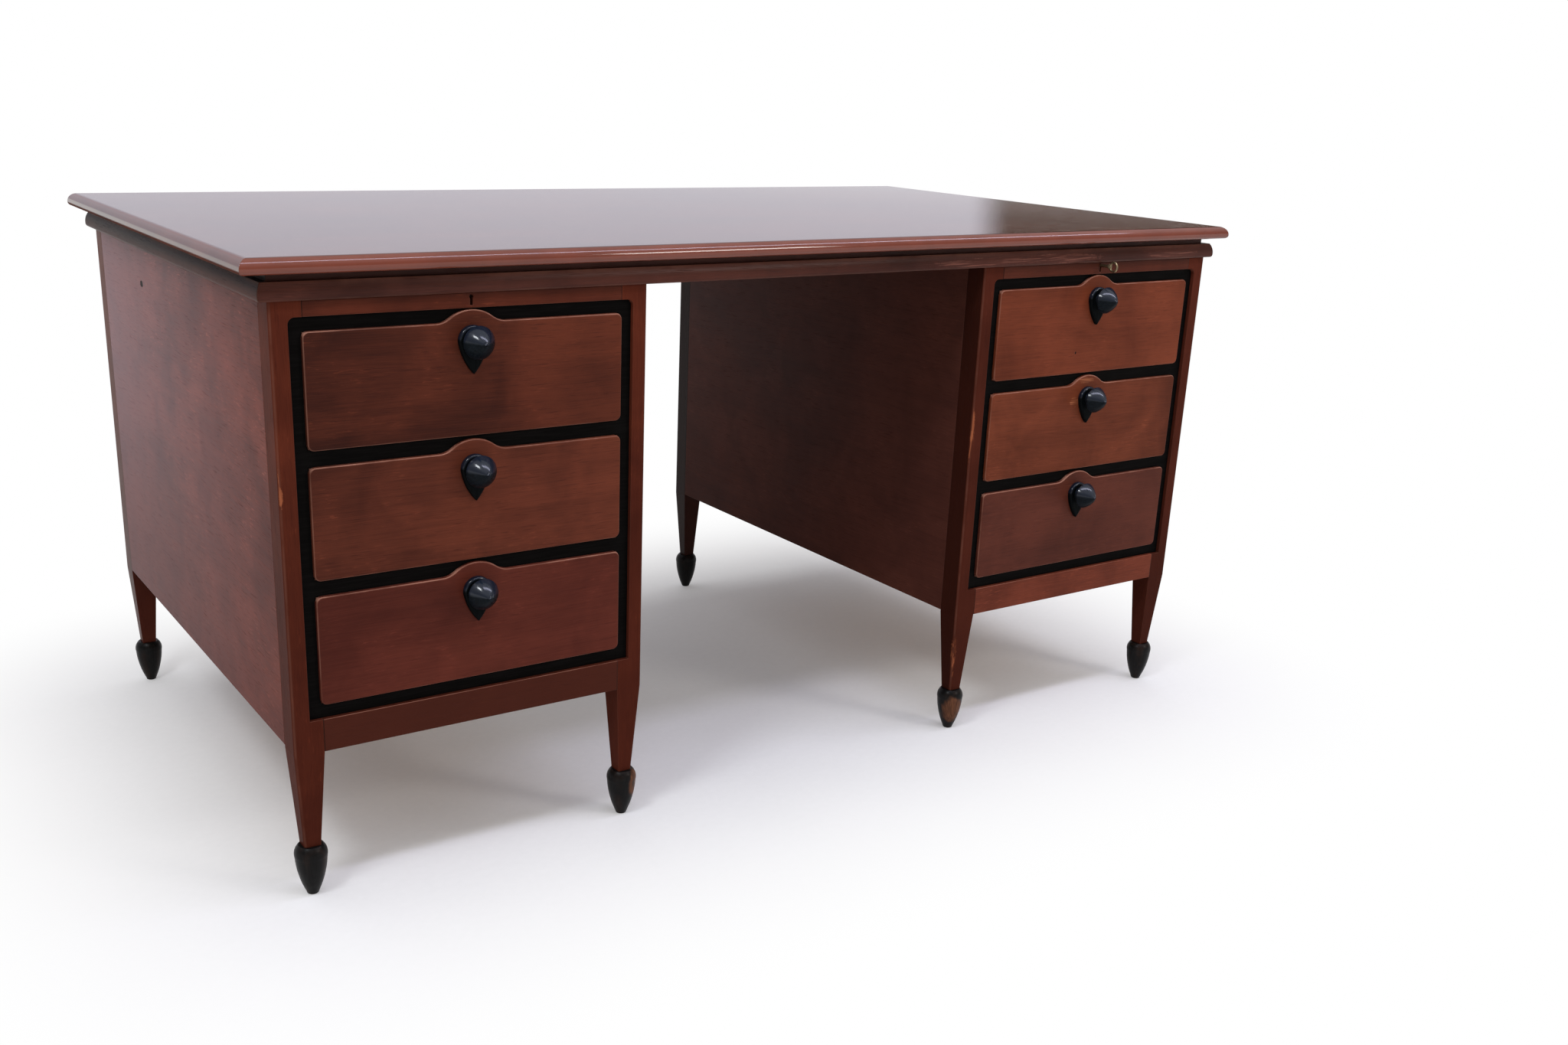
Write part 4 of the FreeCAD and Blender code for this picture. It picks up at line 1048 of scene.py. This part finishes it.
@dataclass
class Floor:
    """A plain pale floor that fades to white away from a patch under the desk."""

    GRIT = Pattern(90.0, 90.0, 5.0, 0.65, tone=0.12)
    CLOUD = Pattern(3.0, 3.0, 4.0, 0.55, tone=0.14)

    size: float = 24.0
    colour: Colour = (0.88, 0.875, 0.87)
    light_and_dark: Span = (0.9, 1.08)
    tones: Span = (0.3, 0.7)
    rough: float = 0.85
    relief: float = 0.2
    relief_height: float = 0.001
    desk_half: Span = (0.66, 0.32)
    fading: Span = (-0.1, 0.52)

    def build(self) -> None:
        """Lay the floor."""
        bpy.ops.object.select_all(action="DESELECT")
        bpy.ops.mesh.primitive_plane_add(size=self.size)
        floor = bpy.context.active_object
        floor.name = "floor"
        material, bench = new_material("pale_floor")
        white = bench.add("ShaderNodeEmission", None, {"Color": bench.solid(WHITE), "Strength": 1.0})
        bench.surface(bench.blend(self._pale(bench), bench.out(white), self._faded(bench)))
        floor.data.materials.append(material)

    def _pale(self, bench: Bench) -> Wire:
        """Make the floor's own shader."""
        noises = bench.noises(bench.place(), self.GRIT, self.CLOUD)
        tone = total(noises, lambda layer: layer.tone) + Wire.NOISE_MEAN
        dark, light = (scaled(self.colour, times) for times in self.light_and_dark)
        sockets = {
            "Base Color": bench.mix(dark, light, tone.step(*self.tones)),
            "Roughness": self.rough,
            "Normal": bench.bump(noises[self.GRIT], self.relief, self.relief_height),
        }
        return bench.principled(sockets)

    def _faded(self, bench: Bench) -> Wire:
        """Find how far the floor has faded to white, from 0 to 1, for rays that are seen."""
        parts = zip(bench.parts(bench.coordinates()), self.desk_half)
        past = {axis: (part.size() - half).greatest(0.0) for axis, (part, half) in enumerate(parts)}
        far = bench.vector("LENGTH", "Value", bench.out(bench.add("ShaderNodeCombineXYZ", None, past)))
        path = bench.add("ShaderNodeLightPath")
        camera, mirrored, through = (
            bench.out(path, f"Is {kind} Ray") for kind in ("Camera", "Glossy", "Transmission")
        )
        return far.step(*self.fading) * (camera + mirrored + through).least(1.0)


@dataclass
class Surround:
    """Light from all round: a white horizon, bright and cool behind the desk, dimmer in front.

    Each span gives two places along X, Y or Z, on a ball of radius 1, between which one light turns
    into the other. The doorway is a dark patch behind the desk on the right.
    """

    front: Colour = (0.34, 0.31, 0.29)
    back: Colour = (0.665, 0.635, 0.705)
    backing: Span = (-0.2, 0.5)
    sky: Colour = (0.82, 0.82, 0.85)
    rising: Span = (0.3, 0.8)
    door: Colour = (0.088, 0.054, 0.04)
    door_across: Span = (0.67, 0.69)
    door_back: Span = (0.3, 0.5)
    door_top: Span = (0.55, 0.4)
    horizon: Span = (0.0592, 0.0572)
    near_horizon: Span = (0.14, 0.12)
    near: Span = (0.25, 0.1)

    def build(self) -> None:
        """Set up the world."""
        world = bpy.data.worlds.new("studio")
        bpy.context.scene.world = world
        world.use_nodes = True
        bench = Bench(world.node_tree)
        across, along, high = bench.parts(bench.coordinates("Generated"))
        colour = bench.mix(self.front, self.back, along.step(*self.backing))
        colour = bench.mix(colour, self.sky, high.step(*self.rising))
        door = across.step(*self.door_across) * along.step(*self.door_back) * high.step(*self.door_top)
        colour = bench.mix(colour, self.door, door)
        near = high.step(*self.near_horizon) * along.step(*self.near)
        colour = bench.mix(colour, WHITE, high.step(*self.horizon).greatest(near))
        light = bench.add("ShaderNodeBackground", None, {"Color": colour, "Strength": 1.0})
        bench.add("ShaderNodeOutputWorld", None, {"Surface": bench.out(light)})


@dataclass(frozen=True)
class Lamp:
    """One soft lamp: where it hangs, the point that it faces, its width and height, its watts."""

    name: str
    place: Point
    aim: Point
    size: Span
    power: float
    colour: Colour

    def hang(self) -> None:
        """Hang the lamp."""
        bpy.ops.object.select_all(action="DESELECT")
        bpy.ops.object.light_add(type="AREA", location=self.place)
        lamp = bpy.context.active_object
        lamp.name = self.name
        lamp.data.shape = "RECTANGLE"
        lamp.data.size, lamp.data.size_y = self.size
        lamp.data.energy = self.power
        lamp.data.color = self.colour
        lamp.rotation_euler = (Vector(self.aim) - Vector(self.place)).to_track_quat("-Z", "Y").to_euler()


@dataclass
class Camera:
    """The camera, where the photograph was taken."""

    lens: float = 34.84
    sensor: float = 36.0
    shift: Span = (0.0282, 0.0327)
    eye: Point = (-1.2292, -2.0091, 0.9609)
    forward: Point = (0.5372, 0.7842, -0.3107)
    up: Point = (0.1441, 0.2776, 0.9498)
    sight: float = 100.0

    def build(self) -> None:
        """Stand the camera in its place."""
        forward = Vector(self.forward).normalized()
        right = forward.cross(Vector(self.up)).normalized()
        up = right.cross(forward)
        data = bpy.data.cameras.new("camera")
        data.sensor_width = self.sensor
        data.lens = self.lens
        data.shift_x, data.shift_y = self.shift
        data.clip_end = self.sight
        camera = bpy.data.objects.new("camera", data)
        turned = Matrix((right, up, -forward)).transposed().to_4x4()
        camera.matrix_world = Matrix.Translation(Vector(self.eye)) @ turned
        bpy.context.scene.collection.objects.link(camera)
        bpy.context.scene.camera = camera


@dataclass
class Studio:
    """Floor, light and camera."""

    floor: Floor = field(default_factory=Floor)
    surround: Surround = field(default_factory=Surround)
    lamps: tuple[Lamp, ...] = (
        Lamp("window", (-1.95, -1.1, 2.6), (-0.3, -0.2, 0.4), (0.6, 0.5), 22.0, (0.92, 0.96, 1.0)),
        Lamp("room", (1.9, -3.2, 2.3), (0.2, 0.0, 0.4), (0.8, 0.6), 23.0, (1.0, 0.96, 0.92)),
        Lamp("skylight", (0.9, -1.1, 2.5), (0.9, -0.6, 0.0), (3.4, 0.2), 24.0, (0.76, 0.77, 1.0)),
    )
    camera: Camera = field(default_factory=Camera)

    def build(self) -> None:
        """Set up everything around the desk."""
        self.floor.build()
        self.surround.build()
        for lamp in self.lamps:
            lamp.hang()
        self.camera.build()
        bpy.context.scene.view_settings.view_transform = "Standard"


def front_finish(dark: Colour, light: Colour, seed: Point, lean: float) -> Mahogany:
    """Make the finish of one drawer front."""
    bare = paint(168, 104, 70)
    return Mahogany(Grain.ALONG_X, dark=dark, light=light, bare=bare, seed=seed, wear=0.9, lean=lean)


def left_pedestal() -> Pedestal:
    """Describe the left-hand pedestal, with its own colours and marks."""
    return Pedestal(
        Side.LEFT,
        {
            Level.TOP: front_finish(paint(45, 21, 16), paint(97, 47, 31), (0.2, 0.5, 0.1), 0.2),
            Level.MIDDLE: front_finish(paint(54, 25, 18), paint(106, 53, 36), (2.2, 1.5, 0.6), 0.18),
            Level.BOTTOM: front_finish(paint(64, 27, 20), paint(100, 47, 35), (4.1, 2.3, 1.4), 0.05),
        },
        marks={
            "top_drawer_front": (
                Mark(MarkKind.RUB, (0.5165, -0.1271, 0.9352), (0.006, 0.012, 0.0012)),
                Mark(MarkKind.RUB, (0.481, -0.1271, 0.8946), (0.006, 0.012, 0.0011)),
            ),
            "outer_panel": (Mark(MarkKind.HOLE, (0.0, 0.6927, 0.901), (0.006, 0.0085, 0.005)),),
            "front_outer_leg": (
                Mark(MarkKind.CHIP, (0.0278, 0.0, 0.6718), (0.0034, 0.0034, 0.013)),
                Mark(MarkKind.RUB, (0.0278, 0.0, 0.6887), (0.003, 0.003, 0.03)),
            ),
            "feet": (Mark(MarkKind.RUB, (0.983, 0.0108, 0.5165), (0.015, 0.024, 0.022)),),
        },
    )


def right_pedestal() -> Pedestal:
    """Describe the right-hand pedestal, with its own colours and marks."""
    rail = replace(Pedestal.rail, dark=paint(54, 24, 17), light=paint(88, 42, 28))
    return Pedestal(
        Side.RIGHT,
        {
            Level.TOP: front_finish(paint(76, 34, 20), paint(122, 60, 38), (6.2, 0.9, 0.3), 0.05),
            Level.MIDDLE: front_finish(paint(74, 34, 20), paint(121, 61, 39), (8.0, 1.9, 2.1), -0.1),
            Level.BOTTOM: front_finish(paint(54, 26, 20), paint(92, 47, 35), (9.4, 2.7, 1.7), 0.05),
        },
        leg=replace(Pedestal.leg, dark=paint(58, 26, 18), light=paint(86, 40, 28)),
        back_leg=replace(Pedestal.back_leg, dark=paint(40, 21, 17), light=paint(66, 34, 26)),
        rail=rail,
        bottom_rail=replace(rail, dark=paint(72, 32, 21), light=paint(124, 60, 41)),
        marks={
            "front_inner_leg": (
                Mark(MarkKind.CHIP, (0.0278, 0.0, 0.6242), (0.003, 0.003, 0.012)),
                Mark(MarkKind.RUB, (0.0417, 0.0278, 0.6273), (0.0042, 0.0042, 0.045)),
                Mark(MarkKind.RUB, (0.1944, 0.1667, 0.0982), (0.005, 0.005, 0.05)),
            ),
            "feet": (Mark(MarkKind.RUB, (0.032, 0.0084, 0.3956), (0.018, 0.022, 0.026)),),
            "top_drawer_front": (
                Mark(MarkKind.HOLE, (0.4127, -0.1271, 0.2169), (0.0022, 0.006, 0.0028)),
            ),
            "middle_drawer_front": (
                Mark(MarkKind.RUB, (0.4354, -0.1271, 0.7285), (0.012, 0.012, 0.009)),
                Mark(MarkKind.RUB, (0.4886, -0.1271, 0.9454), (0.02, 0.012, 0.005)),
            ),
        },
        turn=4.3,
        inwards=(-1.0, 0.0, 0.0),
    )


def main() -> None:
    """Build the desk's looks and the studio."""
    logging.basicConfig(level=logging.INFO, format="%(message)s")
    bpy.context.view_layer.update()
    Top().dress()
    left_pedestal().dress()
    right_pedestal().dress()
    Locks().dress()
    Studio().build()


if __name__ == "__main__":
    main()
